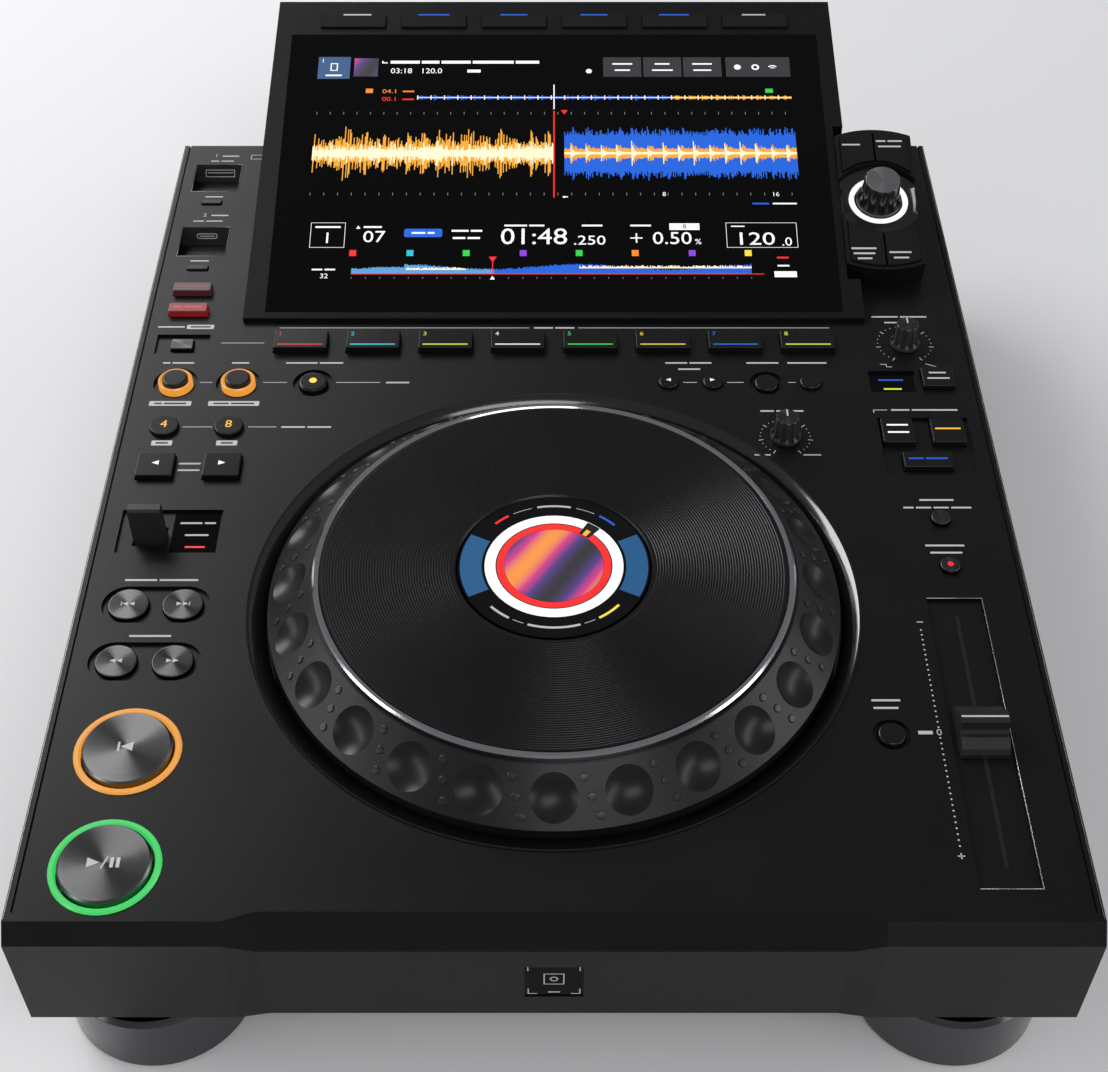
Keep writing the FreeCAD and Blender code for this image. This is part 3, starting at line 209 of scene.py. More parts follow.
def lit(name, colour, strength=1.0, glow_drift=0.08):
    """A lamp behind a diffusing skin, a little uneven."""
    material, nodes, links, shader = bare_material(name)
    shader.inputs["Roughness"].default_value = 0.3
    shader.inputs["Emission Strength"].default_value = strength
    drift = nodes.new("ShaderNodeTexNoise")
    drift.inputs["Scale"].default_value = 120
    dim, bright = [part * (1 - glow_drift) for part in colour], [part * (1 + glow_drift) for part in colour]
    tint = two_tones(nodes, dim, bright)
    links.new(drift.outputs["Fac"], tint.inputs[0])
    links.new(tint.outputs[2], shader.inputs["Emission Color"])
    shader.inputs["Base Color"].default_value = (*[part * 0.3 for part in colour], 1)
    return material


millimetres = Matrix.Diagonal((0.001, 0.001, 0.001, 1))
upright = Matrix.Rotation(math.radians(90), 4, "X") @ millimetres


def deck(lift=0.0):
    """The plane of the deck in millimetres: x from the middle, y back from the front edge."""
    return Matrix.Translation((0, front_y, deck_z + lift / 1000)) @ millimetres


def bar(x0, y0, x1, y1):
    return [(x0, y0), (x1, y0), (x1, y1), (x0, y1)]


def frame_of(x0, y0, x1, y1, line):
    return [bar(x0, y0, x1, y0 + line), bar(x0, y1 - line, x1, y1),
            bar(x0, y0 + line, x0 + line, y1 - line), bar(x1 - line, y0 + line, x1, y1 - line)]


def disc(x, y, radius, sides=24):
    return [(x + radius * math.cos(turn * math.tau / sides), y + radius * math.sin(turn * math.tau / sides))
            for turn in range(sides)]


def band(x, y, inner, outer, start=0.0, end=360.0, step=5.0):
    """Part of a flat ring, from one angle to another, anticlockwise from the right."""
    count = max(2, math.ceil((end - start) / step))
    rays = [math.radians(start + (end - start) * index / count) for index in range(count + 1)]
    return [[(x + reach * math.cos(ray), y + reach * math.sin(ray))
             for reach, ray in ((inner, a), (outer, a), (outer, b), (inner, b))] for a, b in zip(rays, rays[1:])]


def triangle(x, y, size, way=1):
    """An arrow head whose point looks right, or left where way is -1."""
    long, high = way * size * 0.5, size * 0.45
    return [(x - long, y - high), (x + long, y), (x - long, y + high)]


def rounded(x0, y0, x1, y1, radius):
    corners = [(x1 - radius, y1 - radius, 0), (x0 + radius, y1 - radius, 90),
               (x0 + radius, y0 + radius, 180), (x1 - radius, y0 + radius, 270)]
    rays = [(cx, cy, math.radians(start + turn)) for cx, cy, start in corners for turn in (0, 22.5, 45, 67.5, 90)]
    return [(cx + radius * math.cos(ray), cy + radius * math.sin(ray)) for cx, cy, ray in rays]


def legend(x0, x1, y, parts=(1,), high=0.85):
    """Plain bars in the place of a line of lettering, one bar for each part."""
    gap = 0.9
    unit = (x1 - x0 - gap * (len(parts) - 1)) / sum(parts)
    bars = []
    for part in parts:
        bars.append(bar(x0, y - high / 2, x0 + unit * part, y + high / 2))
        x0 += unit * part + gap
    return bars


def figures(text, x, y, high, stretch=1.0):
    """Plain numbers as filled outlines, centred on x and y."""
    curve = bpy.data.curves.new("figures", "FONT")
    curve.body = text
    curve.size = high / 0.7
    curve.resolution_u = 3
    curve.align_x = "CENTER"
    curve.align_y = "CENTER"
    holder = bpy.data.objects.new("figures", curve)
    bpy.context.collection.objects.link(holder)
    bpy.context.view_layer.update()
    mesh = bpy.data.meshes.new_from_object(holder.evaluated_get(bpy.context.evaluated_depsgraph_get()))
    outlines = [[(x + mesh.vertices[corner].co.x * stretch, y + mesh.vertices[corner].co.y)
                 for corner in face.vertices] for face in mesh.polygons]
    bpy.data.objects.remove(holder)
    bpy.data.curves.remove(curve)
    bpy.data.meshes.remove(mesh)
    return outlines


def laid(name, outlines, plane, material, body):
    """Thin flat marks on a plane, such as ink or lit areas."""
    points, faces = [], []
    for outline in outlines:
        faces.append(tuple(range(len(points), len(points) + len(outline))))
        points += [plane @ Vector((x, y, 0)) for x, y in outline]
    mesh = bpy.data.meshes.new(name)
    mesh.from_pydata(points, [], faces)
    mesh.materials.append(material)
    piece = bpy.data.objects.new(name, mesh)
    bpy.context.collection.objects.link(piece)
    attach(piece, body)


def dash(x0, x1, y):
    """A hair line that joins the keys of a row."""
    return bar(x0, y, x1, y + 0.35)


ink = moulded("pale_ink", (0.56, 0.57, 0.58), 0.6, 0.1)
loop_row, beat_row = 242.2, 216.8
label_half = 1.35
printed = []
# Left column
printed += figures("1", -149.5, 394.3, 2.2) + legend(-146.8, -139.5, 394.0, (1,))
printed += legend(-151.5, -141.5, 390.2, (2, 3), 0.7)
printed += figures("2", -149.0, 350.4, 2.2) + legend(-146.3, -139.0, 350.2, (1,))
printed += legend(-153.5, -141.0, 346.2, (2, 3), 0.7)
printed += legend(-150.6, -143.0, 363.6, (1,), 0.8) + legend(-151.0, -143.4, 318.7, (1,), 0.8)
printed += frame_of(-134.2, 391.6, -128.6, 395.0, 0.35)
printed += legend(-158.2, -147.5, 275.9, (3,)) + [rounded(-146.6, 274.6, -135.8, 277.2, 0.4)]
printed += [dash(-131.8, -114.7, 265.8)]
printed += legend(-153.0, -140.8, 253.9, (1, 3)) + legend(-126.0, -119.3, 253.9)
printed += legend(-104.8, -82.5, 253.9, (4, 3))
printed += [dash(-137.0, -132.3, loop_row), dash(-112.6, -103.3, loop_row), dash(-84.3, -67.3, loop_row)]
printed += legend(-65.0, -56.0, loop_row + 0.1)
printed += [dash(-140.4, -129.1, beat_row), dash(-115.5, -104.9, beat_row)]
printed += legend(-103.0, -84.2, beat_row + 0.1, (2, 2))
for x0, x1, y in ((-154.9, -138.8, 230.2), (-132.3, -112.8, 230.2), (-150.8, -143.0, 208.1),
                  (-126.5, -118.6, 208.1)):
    printed.append(rounded(x0, y - label_half, x1, y + label_half, 0.4))
printed += legend(-138.9, -130.8, 196.9) + legend(-138.9, -130.8, 193.4)
printed += legend(-149.5, -124.0, 138.2, (5, 6)) + legend(-144.0, -129.8, 112.4)
# Line over the pads
printed += [dash(-109.5, -9.9, 275.1), dash(9.7, 109.9, 275.1)]
printed += legend(-7.9, 8.1, 275.3, (3, 3))
# Right column
printed += legend(43.6, 61.6, 253.9, (3, 3)) + legend(48.4, 57.0, 250.2) + legend(75.3, 87.8, 253.9)
printed += legend(91.3, 106.6, 253.9)
printed += [dash(50.0, 55.4, loop_row), dash(67.0, 73.4, loop_row), dash(90.6, 93.6, loop_row)]
printed += legend(78.6, 95.0, 225.9, (2, 4))
printed += legend(74.6, 80.6, 201.6, (1,), 0.7) + legend(92.8, 99.4, 201.6, (1,), 0.7)
printed += [bar(127.4, 252.9, 130.0, 253.2), bar(129.7, 251.4, 130.0, 252.9), bar(130.0, 251.4, 132.0, 251.7)]
printed += [[(145.2, 253.2), (147.2, 252.4), (149.6, 251.4), (149.6, 251.7), (147.3, 252.8), (145.2, 253.5)]]
printed += legend(127.5, 149.6, 282.2, (3, 3)) + legend(132.3, 143.5, 278.6)
printed += [dash(121.6, 127.0, 226.3), bar(121.6, 224.9, 121.95, 226.4)]
printed += legend(128.5, 153.8, 226.5, (2, 5))
printed += legend(132.7, 145.1, 177.8) + legend(126.4, 151.0, 173.9, (2, 3, 3, 4), 0.8)
printed += legend(131.7, 145.5, 154.9) + legend(133.0, 144.3, 151.4)
printed += legend(104.3, 113.8, 84.4) + legend(104.6, 112.8, 81.2)
# Scale beside the fader
scale_x, scale_front, scale_long, scale_steps = 124.75, 26.9, 88.2, 40
printed += [disc(scale_x, scale_front + scale_long * mark / scale_steps, 0.33, 10)
            for mark in range(scale_steps + 1) if mark != scale_steps // 2]
printed += [bar(123.8, 118.5, 125.9, 118.9), bar(123.6, 23.0, 125.8, 23.4), bar(124.5, 22.1, 124.9, 24.3)]
printed += [bar(117.9, 70.3, 122.6, 71.7)] + figures("0", 124.7, 71.0, 2.6)
# Scales round the two small knobs: a dash at every fourth place and dots between
knobs = {"jog_speed_knob": (138.6, 265.4), "jog_feel_knob": (86.9, 211.4)}
for (x, y), reach in zip(knobs.values(), (10.6, 9.4)):
    for mark in range(25):
        turn = math.radians(-60 + 300 * mark / 24)
        if mark % 4:
            printed.append(disc(x + reach * math.cos(turn), y + reach * math.sin(turn), 0.22, 8))
        else:
            side = Vector((-math.sin(turn), math.cos(turn))) * 0.16
            near = Vector((x, y)) + Vector((math.cos(turn), math.sin(turn))) * (reach - 0.9)
            far = Vector((x, y)) + Vector((math.cos(turn), math.sin(turn))) * (reach + 0.9)
            printed.append([tuple(near - side), tuple(near + side), tuple(far + side), tuple(far - side)])
laid("deck_print", printed, deck(0.03), ink, "case")
box_words = legend(-152.9, -140.8, 230.2, (1, 3)) + legend(-130.3, -114.8, 230.2, (2, 3))
box_words += legend(-149.2, -144.6, 208.1) + legend(-124.8, -120.3, 208.1) + legend(-145.2, -137.2, 275.9)
laid("label_box_words", box_words, deck(0.06), moulded("dark_ink", (0.03, 0.03, 0.03), 0.6, 0.1),
     "case")

# The long edges of the deck are rolled over; slim beads of bright metal along them and the front edge are a painted
# highlight
painted_edge_highlight = moulded("painted_edge_highlight", (0.16, 0.16, 0.165), 0.2, 0.05, metal=1.0)


def wire(name, points, radius, material, body, closed=False):
    """A slim round bead along a line of points given in millimetres on the deck."""
    curve = bpy.data.curves.new(name, "CURVE")
    curve.dimensions = "3D"
    curve.bevel_depth = radius / 1000
    curve.bevel_resolution = 3
    line = curve.splines.new("POLY")
    line.points.add(len(points) - 1)
    for spot, point in zip(line.points, points):
        spot.co = (*(deck() @ Vector(point)), 1)
    line.use_cyclic_u = closed
    curve.materials.append(material)
    piece = bpy.data.objects.new(name, curve)
    bpy.context.collection.objects.link(piece)
    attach(piece, body)


for edge_x, label in ((-164.1, "left"), (164.1, "right")):
    wire(label + "_edge_bead", [(edge_x, 0.8, -0.25), (edge_x, 401.2, -0.25)], 0.3, painted_edge_highlight,
         "case")
wire("front_edge_bead", [(-164.0, 0.4, -0.3), (-99.3, 0.4, -0.3), (-89.4, 3.8, -0.3), (89.4, 3.8, -0.3),
                         (99.3, 0.4, -0.3), (164.0, 0.4, -0.3)], 0.25, painted_edge_highlight, "case")

# Inlay of the nose: a gloss tile with four bright corners round a plain square sign
tile_half, tile_forward, tile_low = 8.9, 0.00225, 0.0292
tile = Matrix.Translation((0, front_y - tile_forward, deck_z - tile_low)) @ upright
gloss_tile = moulded("gloss_tile", (0.002, 0.002, 0.0022), 0.1, 0.03, shine=0.08)
laid("nose_inlay", [rounded(-tile_half, -tile_half, tile_half, tile_half, 1.0)], tile, gloss_tile,
     "case")
signs = []
for side in (-1, 1):
    for rise in (-1, 1):
        signs += [bar(side * 8.2, rise * 8.2, side * 5.2, rise * 7.8),
                  bar(side * 8.2, rise * 7.8, side * 7.8, rise * 5.2)]
signs += frame_of(-3.2, -2.6, 3.2, 3.6, 0.35) + band(0, 0.5, 0.9, 1.3, 0, 360, 20)
signs += [bar(-1.9, -7.4, 1.9, -6.8)]
laid("nose_inlay_signs", signs, tile @ Matrix.Translation((0, 0, 0.04)), ink, "case")

# Lit line of the two memory stick ports, and a painted highlight in bright metal round the mouth of each bay
wall_turn = math.atan2(6.5, 4.4)
port_x, port_half, rim = -147.2, 10.0, 0.28
ports = ((377.6, 6.4, 3.2, True, "stick_port_a"), (332.0, 4.4, 2.2, False, "stick_port_c"))
for y, half, tall, square, label in ports:
    wall_plane = deck() @ Matrix.Translation((port_x, y + 8.0, -3.25)) @ Matrix.Rotation(wall_turn, 4, "X") \
        @ Matrix.Translation((0, 0, 0.08))
    if square:
        shapes = frame_of(-half, -tall / 2, half, tall / 2, rim) + [bar(-half + 0.9, 0.1, half - 0.9, 0.4)]
    else:
        outer = rounded(-half, -tall / 2, half, tall / 2, 1.05)
        inner = rounded(-half + rim, -tall / 2 + rim, half - rim, tall / 2 - rim, 0.8)
        shapes = [[outer[spot - 1], outer[spot], inner[spot], inner[spot - 1]]
                  for spot in [*range(1, len(outer)), 0]]
        shapes.append(bar(-half + 1.2, -0.15, half - 1.2, 0.15))
    laid(label, shapes, wall_plane, ink, "case")
    # Painted highlight: a bead of bright metal round the mouth of the bay
    mouth = bar(port_x - port_half, y - port_half, port_x + port_half, y + port_half)
    wire(label + "_mouth", [(across, along, -0.1) for across, along in mouth], 0.16, painted_edge_highlight,
         "case", closed=True)


# Rear connectors and power switch
# Gloss black plastic shells clipped into the rear panel, with metal barrels for the audio
# sockets. The rocker turns on a lengthwise axis.

socket_black = moulded("socket_black", (0.012, 0.012, 0.012), 0.25, 0.1)
dress(socket_black, "rear_connectors")
dress(moulded("switch_black", (0.02, 0.02, 0.02), 0.3, 0.1), "power_switch")
rear_back, socket_row = 0.402, 0.027
rear = Matrix.Translation((0, front_y + rear_back, deck_z - socket_row)) @ Matrix.Rotation(math.pi, 4, "Z") @ upright
for index, tone in enumerate(((0.55, 0.03, 0.03), (0.7, 0.7, 0.7), (0.7, 0.25, 0.02))):
    label = "jack_collar_%d" % index
    laid(label, band(60 + 16 * index, 0, 4.25, 4.95, 0, 360, 10), rear @ Matrix.Translation((0, 0, 1.03)),
         moulded(label, tone, 0.4, 0.1), "case")
rear_marks = legend(48.5, 104.0, 9.5, (2, 3, 2)) + legend(7.0, 23.0, 9.5) + legend(-23.0, -7.0, 9.5)
rear_marks += [bar(-84.3, 11.6, -83.7, 13.4)] + band(-84.0, -12.6, 0.7, 1.1, 0, 360, 20)
laid("rear_print", [[(-x, y) for x, y in outline][::-1] for outline in rear_marks],
     rear @ Matrix.Translation((0, 0, 0.03)), ink, "case")


# Jog wheel
# A dimpled wheel of satin plastic turns in a polished bezel. It carries a bright metal ring
# and a black plate cut with fine concentric grooves, and small raised dots mark its flank.

dress(moulded("bezel_gloss", (0.004, 0.004, 0.0045), 0.1, 0.02, coat=0.3), "jog_bezel")
dress(moulded("wheel_satin", (0.010, 0.0102, 0.0108), 0.33, 0.12, 0.0006, shine=0.28), "jog_wheel")
dress(moulded("ring_silver", (0.44, 0.45, 0.465), 0.11, 0.04, metal=1.0, patch=0.04), "jog_trim_ring")
plate_black = moulded("plate_black", (0.020, 0.020, 0.0215), 0.3, 0.1, metal=0.75)
dress(plate_black, "jog_top_plate")
jog_y = 130.5


def lathe(name, profile, x, y, material, body, sides=96, plane=None):
    """A turned piece: radius and height pairs swept round an upright axis at x and y."""
    plane = plane or deck()
    points, faces = [], []
    for radius, height in profile:
        for turn in range(sides):
            angle = math.tau * turn / sides
            points.append(plane @ Vector((x + radius * math.cos(angle), y + radius * math.sin(angle), height)))
    for low in range(0, (len(profile) - 1) * sides, sides):
        high = low + sides
        for turn in range(sides):
            after = (turn + 1) % sides
            faces.append((low + turn, low + after, high + after, high + turn))
    mesh = bpy.data.meshes.new(name)
    mesh.from_pydata(points, [], faces)
    mesh.shade_smooth()
    mesh.materials.append(material)
    piece = bpy.data.objects.new(name, mesh)
    bpy.context.collection.objects.link(piece)
    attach(piece, body)
    return piece


# A polished insert lines the bezel and catches the light at the right
lathe("bezel_insert", [(104.9, 0.34), (99.4, -2.7), (99.4, -5.3)], 0, jog_y,
      moulded("insert_gloss", (0.004, 0.004, 0.0045), 0.16, 0.02, coat=0.5, shine=0.6), "case", 192)

groove_pitch = 0.95
groove_floor, groove_top = 16.02, 16.19
grooves = [(34.4, groove_floor)]
radius = 35.0
while radius < 78.3:
    grooves += [(radius, groove_floor), (radius + groove_pitch * 0.28, groove_top),
                (radius + groove_pitch * 0.62, groove_top), (radius + groove_pitch * 0.88, groove_floor)]
    radius += groove_pitch
grooved = lathe("jog_plate_grooves", grooves[::-1], 0, jog_y, plate_black, "jog", 256)
grooved.data.shade_flat()

# Three flat dots stand in a slanting row between each two dimples
dot_sides = 12
dot_rings = ((-0.1, 1.45), (0.25, 1.4), (0.42, 1.15))
flank_inner, flank_top, flank_rise, flank_wide = 83.0, 14.0, 13.5, 15.5
flank = math.atan2(flank_rise, flank_wide)
dot_mesh = bpy.data.meshes.new("jog_grip_dots")
points, faces = [], []
for gap in range(24):
    for reach, skew in ((86.2, -1.3), (90.8, 0.0), (95.4, 1.3)):
        angle = math.radians(7.5 + 15 * gap + skew)
        rise = flank_top - (reach - flank_inner) * flank_rise / flank_wide
        stand = deck() @ Matrix.Translation((0, jog_y, 0)) @ Matrix.Rotation(angle, 4, "Z") \
            @ Matrix.Translation((reach, 0, rise)) @ Matrix.Rotation(flank, 4, "Y")
        first = len(points)
        for height, size in dot_rings:
            points += [stand @ Vector((across, along, height)) for across, along in disc(0, 0, size, dot_sides)]
        points.append(stand @ Vector((0, 0, 0.45)))
        for low in (first, first + dot_sides):
            for turn in range(dot_sides):
                after = (turn + 1) % dot_sides
                faces.append((low + turn, low + after, low + dot_sides + after, low + dot_sides + turn))
        low = first + 2 * dot_sides
        faces += [(low + turn, low + (turn + 1) % dot_sides, low + dot_sides) for turn in range(dot_sides)]
dot_mesh.from_pydata(points, [], faces)
dot_mesh.materials.append(moulded("dot_black", (0.02, 0.02, 0.021), 0.25, 0.05))
grip_dots = bpy.data.objects.new("jog_grip_dots", dot_mesh)
bpy.context.collection.objects.link(grip_dots)
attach(grip_dots, "jog")


# Round display
# A lit disc under a clear face on the fixed spindle, with a white and a red ring, a plain
# picture of soft bands, two blue fields and a marker that shows the wheel's place.

dress(moulded("display_black", (0.003, 0.003, 0.0035), 0.12, 0.02, shine=0.2), "jog_display")
white_lamp = lit("white_lamp", (0.92, 0.93, 0.95), 0.95)
red_lamp = lit("red_lamp", (0.85, 0.02, 0.02))
blue_lamp = lit("blue_lamp", (0.015, 0.09, 0.50))
amber_lamp = lit("amber_lamp", (0.95, 0.42, 0.03))
yellow_lamp = lit("yellow_lamp", (0.85, 0.62, 0.05))
dark_lamp = lit("dark_lamp", (0.004, 0.004, 0.005))
face = deck(15.84)


def arc(inner, outer, start=0, end=360, step=5.0):
    """Part of a ring round the middle of the display."""
    return band(0, jog_y, inner, outer, start, end, step)


def on_display(name, shapes, material, layer):
    laid(name, shapes, face @ Matrix.Translation((0, 0, 0.05 * layer)), material, "case")


on_display("display_white_ring", arc(19.9, 23.6, step=4), white_lamp, 0)
on_display("display_dark_gap", arc(19.5, 19.9, step=4), dark_lamp, 0)
on_display("display_red_ring", arc(17.0, 19.5, step=4), red_lamp, 0)


def picture_finish():
    """A plain generic picture: soft bands of pink, violet and orange over black."""
    material, nodes, links, shader = bare_material("display_picture")
    shader.inputs["Base Color"].default_value = (0.02, 0.02, 0.02, 1)
    shader.inputs["Emission Strength"].default_value = 1.0
    where = nodes.new("ShaderNodeTexCoord")
    turn = nodes.new("ShaderNodeMapping")
    turn.inputs["Rotation"].default_value = (0, 0, 0.6)
    stripes = nodes.new("ShaderNodeTexWave")
    stripes.inputs["Scale"].default_value = 11
    stripes.inputs["Distortion"].default_value = 2.5
    stripes.inputs["Detail Scale"].default_value = 0.8
    hues = nodes.new("ShaderNodeValToRGB")
    hues.color_ramp.elements[0].color = (0.004, 0.002, 0.006, 1)
    hues.color_ramp.elements[1].color = (0.95, 0.30, 0.03, 1)
    hues.color_ramp.elements.new(0.35).color = (0.07, 0.02, 0.22, 1)
    hues.color_ramp.elements.new(0.7).color = (0.65, 0.02, 0.22, 1)
    links.new(where.outputs["Object"], turn.inputs["Vector"])
    links.new(turn.outputs["Vector"], stripes.inputs["Vector"])
    links.new(stripes.outputs["Color"], hues.inputs["Fac"])
    links.new(hues.outputs["Color"], shader.inputs["Emission Color"])
    return material


picture = picture_finish()
on_display("display_picture", [disc(0, jog_y, 16.9, 64)], picture, 0)
on_display("display_blue_fields", arc(24.6, 32.0, -27, 27) + arc(24.6, 32.0, 153, 207),
           lit("dim_blue_lamp", (0.012, 0.08, 0.20), glow_drift=0.5), 0)
on_display("display_marker", arc(17.2, 23.4, 47, 60, 2), dark_lamp, 1)
on_display("display_marker_tick", arc(17.4, 20.2, 51, 56, 2), amber_lamp, 2)
word, line = (27.8, 28.7), (28.1, 28.35)
on_display("display_pale_words", arc(*word, 78, 102) + arc(*line, 60, 74) + arc(*line, 106, 120)
           + arc(*word, 222, 238) + arc(*word, 252, 288) + arc(*line, 241, 249) + arc(*line, 291, 299), ink, 1)
on_display("display_red_word", arc(*word, 124, 136), red_lamp, 1)
on_display("display_blue_word", arc(*word, 42, 56), blue_lamp, 1)
on_display("display_yellow_word", arc(*word, 302, 320), yellow_lamp, 1)


# Light rings
# Clear rings round the cue, play, loop and browse controls, each lit from below in its own
# colour: amber, green and white.

def ring_finish():
    """Green towards the front edge, white at the right and amber elsewhere."""
    material, nodes, links, shader = bare_material("ring_light")
    shader.inputs["Base Color"].default_value = (0.06, 0.06, 0.06, 1)
    shader.inputs["Roughness"].default_value = 0.25
    shader.inputs["Emission Strength"].default_value = 1.0
    where = nodes.new("ShaderNodeTexCoord")
    split = nodes.new("ShaderNodeSeparateXYZ")
    near = nodes.new("ShaderNodeMath")
    near.operation = "LESS_THAN"
    near.inputs[1].default_value = front_y + 0.0415
    right = nodes.new("ShaderNodeMath")
    right.operation = "GREATER_THAN"
    right.inputs[1].default_value = 0.0
    amber, green, white = (0.78, 0.30, 0.022), (0.022, 0.58, 0.10), (0.95, 0.96, 1.0)
    first = two_tones(nodes, amber, green)
    second = two_tones(nodes, amber, white)
    links.new(where.outputs["Object"], split.inputs["Vector"])
    links.new(split.outputs["Y"], near.inputs[0])
    links.new(split.outputs["X"], right.inputs[0])
    links.new(near.outputs["Value"], first.inputs[0])
    links.new(right.outputs["Value"], second.inputs[0])
    links.new(first.outputs[2], second.inputs[6])
    links.new(second.outputs[2], shader.inputs["Emission Color"])
    return material


dress(ring_finish(), "light_rings")


# Cue and play buttons
# Two large caps of spun dark metal that press straight down. Each has a bevelled edge, and a
# sign filled with pale ink.

def spun(name, colour, roughness, strength):
    """Metal brushed round its middle, so that light falls on it in fans."""
    material, nodes, links, shader = bare_material(name)
    shader.inputs["Metallic"].default_value = 1.0
    shader.inputs["Anisotropic"].default_value = strength
    tangent = nodes.new("ShaderNodeTangent")
    tangent.direction_type = "RADIAL"
    tangent.axis = "Z"
    where = nodes.new("ShaderNodeTexCoord")
    middle = nodes.new("ShaderNodeVectorMath")
    middle.operation = "SUBTRACT"
    middle.inputs[1].default_value = (0.5, 0.5, 0.5)
    flat = nodes.new("ShaderNodeVectorMath")
    flat.operation = "MULTIPLY"
    flat.inputs[1].default_value = (1, 1, 0)
    reach = nodes.new("ShaderNodeVectorMath")
    reach.operation = "LENGTH"
    lay = nodes.new("ShaderNodeTexNoise")
    lay.noise_dimensions = "1D"
    lay.inputs["Scale"].default_value = 90
    tint = two_tones(nodes, [part * 0.7 for part in colour], [min(1, part * 1.3) for part in colour])
    gloss = nodes.new("ShaderNodeMapRange")
    gloss.inputs["To Min"].default_value = roughness * 0.8
    gloss.inputs["To Max"].default_value = roughness * 1.2
    links.new(where.outputs["Generated"], middle.inputs[0])
    links.new(middle.outputs["Vector"], flat.inputs[0])
    links.new(flat.outputs["Vector"], reach.inputs[0])
    links.new(reach.outputs["Value"], lay.inputs["W"])
    links.new(lay.outputs["Fac"], tint.inputs[0])
    links.new(lay.outputs["Fac"], gloss.inputs["Value"])
    links.new(tint.outputs[2], shader.inputs["Base Color"])
    links.new(gloss.outputs["Result"], shader.inputs["Roughness"])
    links.new(tangent.outputs["Tangent"], shader.inputs["Tangent"])
    return material


cap_metal = spun("spun_cap", (0.12, 0.12, 0.123), 0.22, 0.95)
dress(cap_metal, "cue_button", "play_button")
big_x, big_top = -136.8, 2.24


def on_key(name, shapes, lift, material, body):
    """A sign on top of a key, which goes down with it."""
    laid(name, shapes, deck(lift), material, body)


slash = [(big_x - 0.9, 17.2), (big_x - 0.4, 17.2), (big_x + 1.3, 21.6), (big_x + 0.8, 21.6)]
pause = [bar(big_x + 1.9, 17.6, big_x + 3.0, 21.2), bar(big_x + 3.8, 17.6, big_x + 4.9, 21.2)]
on_key("play_sign", [triangle(big_x - 3.2, 19.4, 4.0), slash] + pause, big_top, ink, "play_button")
on_key("cue_sign", [bar(big_x - 2.9, 61.9, big_x - 2.2, 65.5), triangle(big_x, 63.7, 4.0, -1)], big_top, ink,
       "cue_button")


# Small keys of the left side
# Moulded caps on stems with a flange under the deck: lit red for two of them, domed ones with
# lit numerals, square ones with arrows, and spun metal ones for track and search.

key_gloss = moulded("key_gloss", (0.005, 0.005, 0.0054), 0.2, 0.06, shine=0.3)
key_satin = moulded("key_satin", (0.010, 0.010, 0.0105), 0.34, 0.12)
spun_small = spun("spun_key", (0.08, 0.08, 0.083), 0.22, 0.96)
dress(key_gloss, "loop_in_button", "loop_out_button", "reloop_key", "beat_key_4", "beat_key_8", "delete_key",
      "call_back_key", "call_forward_key", "memory_key", "tempo_reset_key", "jump_back_key", "jump_forward_key",
      "jog_mode_key", "beat_sync_key", "master_key", "key_sync_key")
dress(key_satin, "stop_keys")
dress(spun_small, "track_back_key", "track_forward_key", "search_back_key", "search_forward_key",
      "tempo_range_key", "master_tempo_key", "call_delete_key")
dress(lit("dull_red_key", (0.040, 0.008, 0.010), glow_drift=0.25), "slip_key")
dress(lit("bright_red_key", (0.15, 0.006, 0.007), glow_drift=0.25), "quantize_key")
red_top, beat_top, square_top, spun_top = 2.65, 1.65, 2.25, 0.45
on_key("slip_key_mark", legend(-152.8, -141.6, 298.6, (2, 2)), red_top,
       lit("pink_lamp", (0.16, 0.022, 0.028)), "slip_key")
on_key("quantize_key_mark", legend(-152.8, -141.6, 285.4, (1, 2)), red_top,
       lit("deep_red_lamp", (0.50, 0.03, 0.03)), "quantize_key")
on_key("reloop_light", [disc(-93.2, 242.5, 1.5)], 1.05, yellow_lamp, "reloop_key")
on_key("beat_key_4_figure", figures("4", -147.1, beat_row, 3.9), beat_top, amber_lamp, "beat_key_4")
on_key("beat_key_8_figure", figures("8", -122.7, beat_row, 3.9), beat_top, amber_lamp, "beat_key_8")
on_key("jump_back_arrow", [triangle(-147.1, 195.2, 2.6, -1)], square_top, white_lamp, "jump_back_key")
on_key("jump_forward_arrow", [triangle(-122.5, 195.2, 2.6)], square_top, white_lamp, "jump_forward_key")
for node, x, y, way, stop in (("track_back_key", -146.5, 126.8, -1, True),
                              ("track_forward_key", -127.8, 126.8, 1, True),
                              ("search_back_key", -146.7, 101.2, -1, False),
                              ("search_forward_key", -127.7, 101.2, 1, False)):
    sign = [triangle(x - 1.1, y, 2.0, way), triangle(x + 1.1, y, 2.0, way)]
    if stop:
        sign.append(bar(x + way * 2.2, y - 0.9, x + way * 2.55, y + 0.9))
    on_key(node + "_sign", sign, spun_top, ink, node)


# Direction lever and its window
# A ridged thumb lever on a cross pin stands in a sunken gloss window. Three short marks beside
# it name its places, and the lowest is red.

dress(moulded("lever_black", (0.022, 0.022, 0.0235), 0.36, 0.2), "direction_lever")
window = deck(-1.15)
on_window = deck(-1.08)
laid("lever_window", [rounded(-136.6, 151.9, -120.0, 172.3, 0.8)], window, gloss_tile, "case")
laid("lever_window_marks", legend(-134.3, -121.6, 167.1, (2, 1)) + legend(-131.9, -123.5, 161.1), on_window, ink,
     "case")
laid("lever_window_red_mark", legend(-131.2, -124.1, 155.2), on_window, red_lamp, "case")


# Small keys of the right side
# The jog mode window shows two lit words' places, the sync plate carries three square keys,
# and two spun keys stand over the fader.

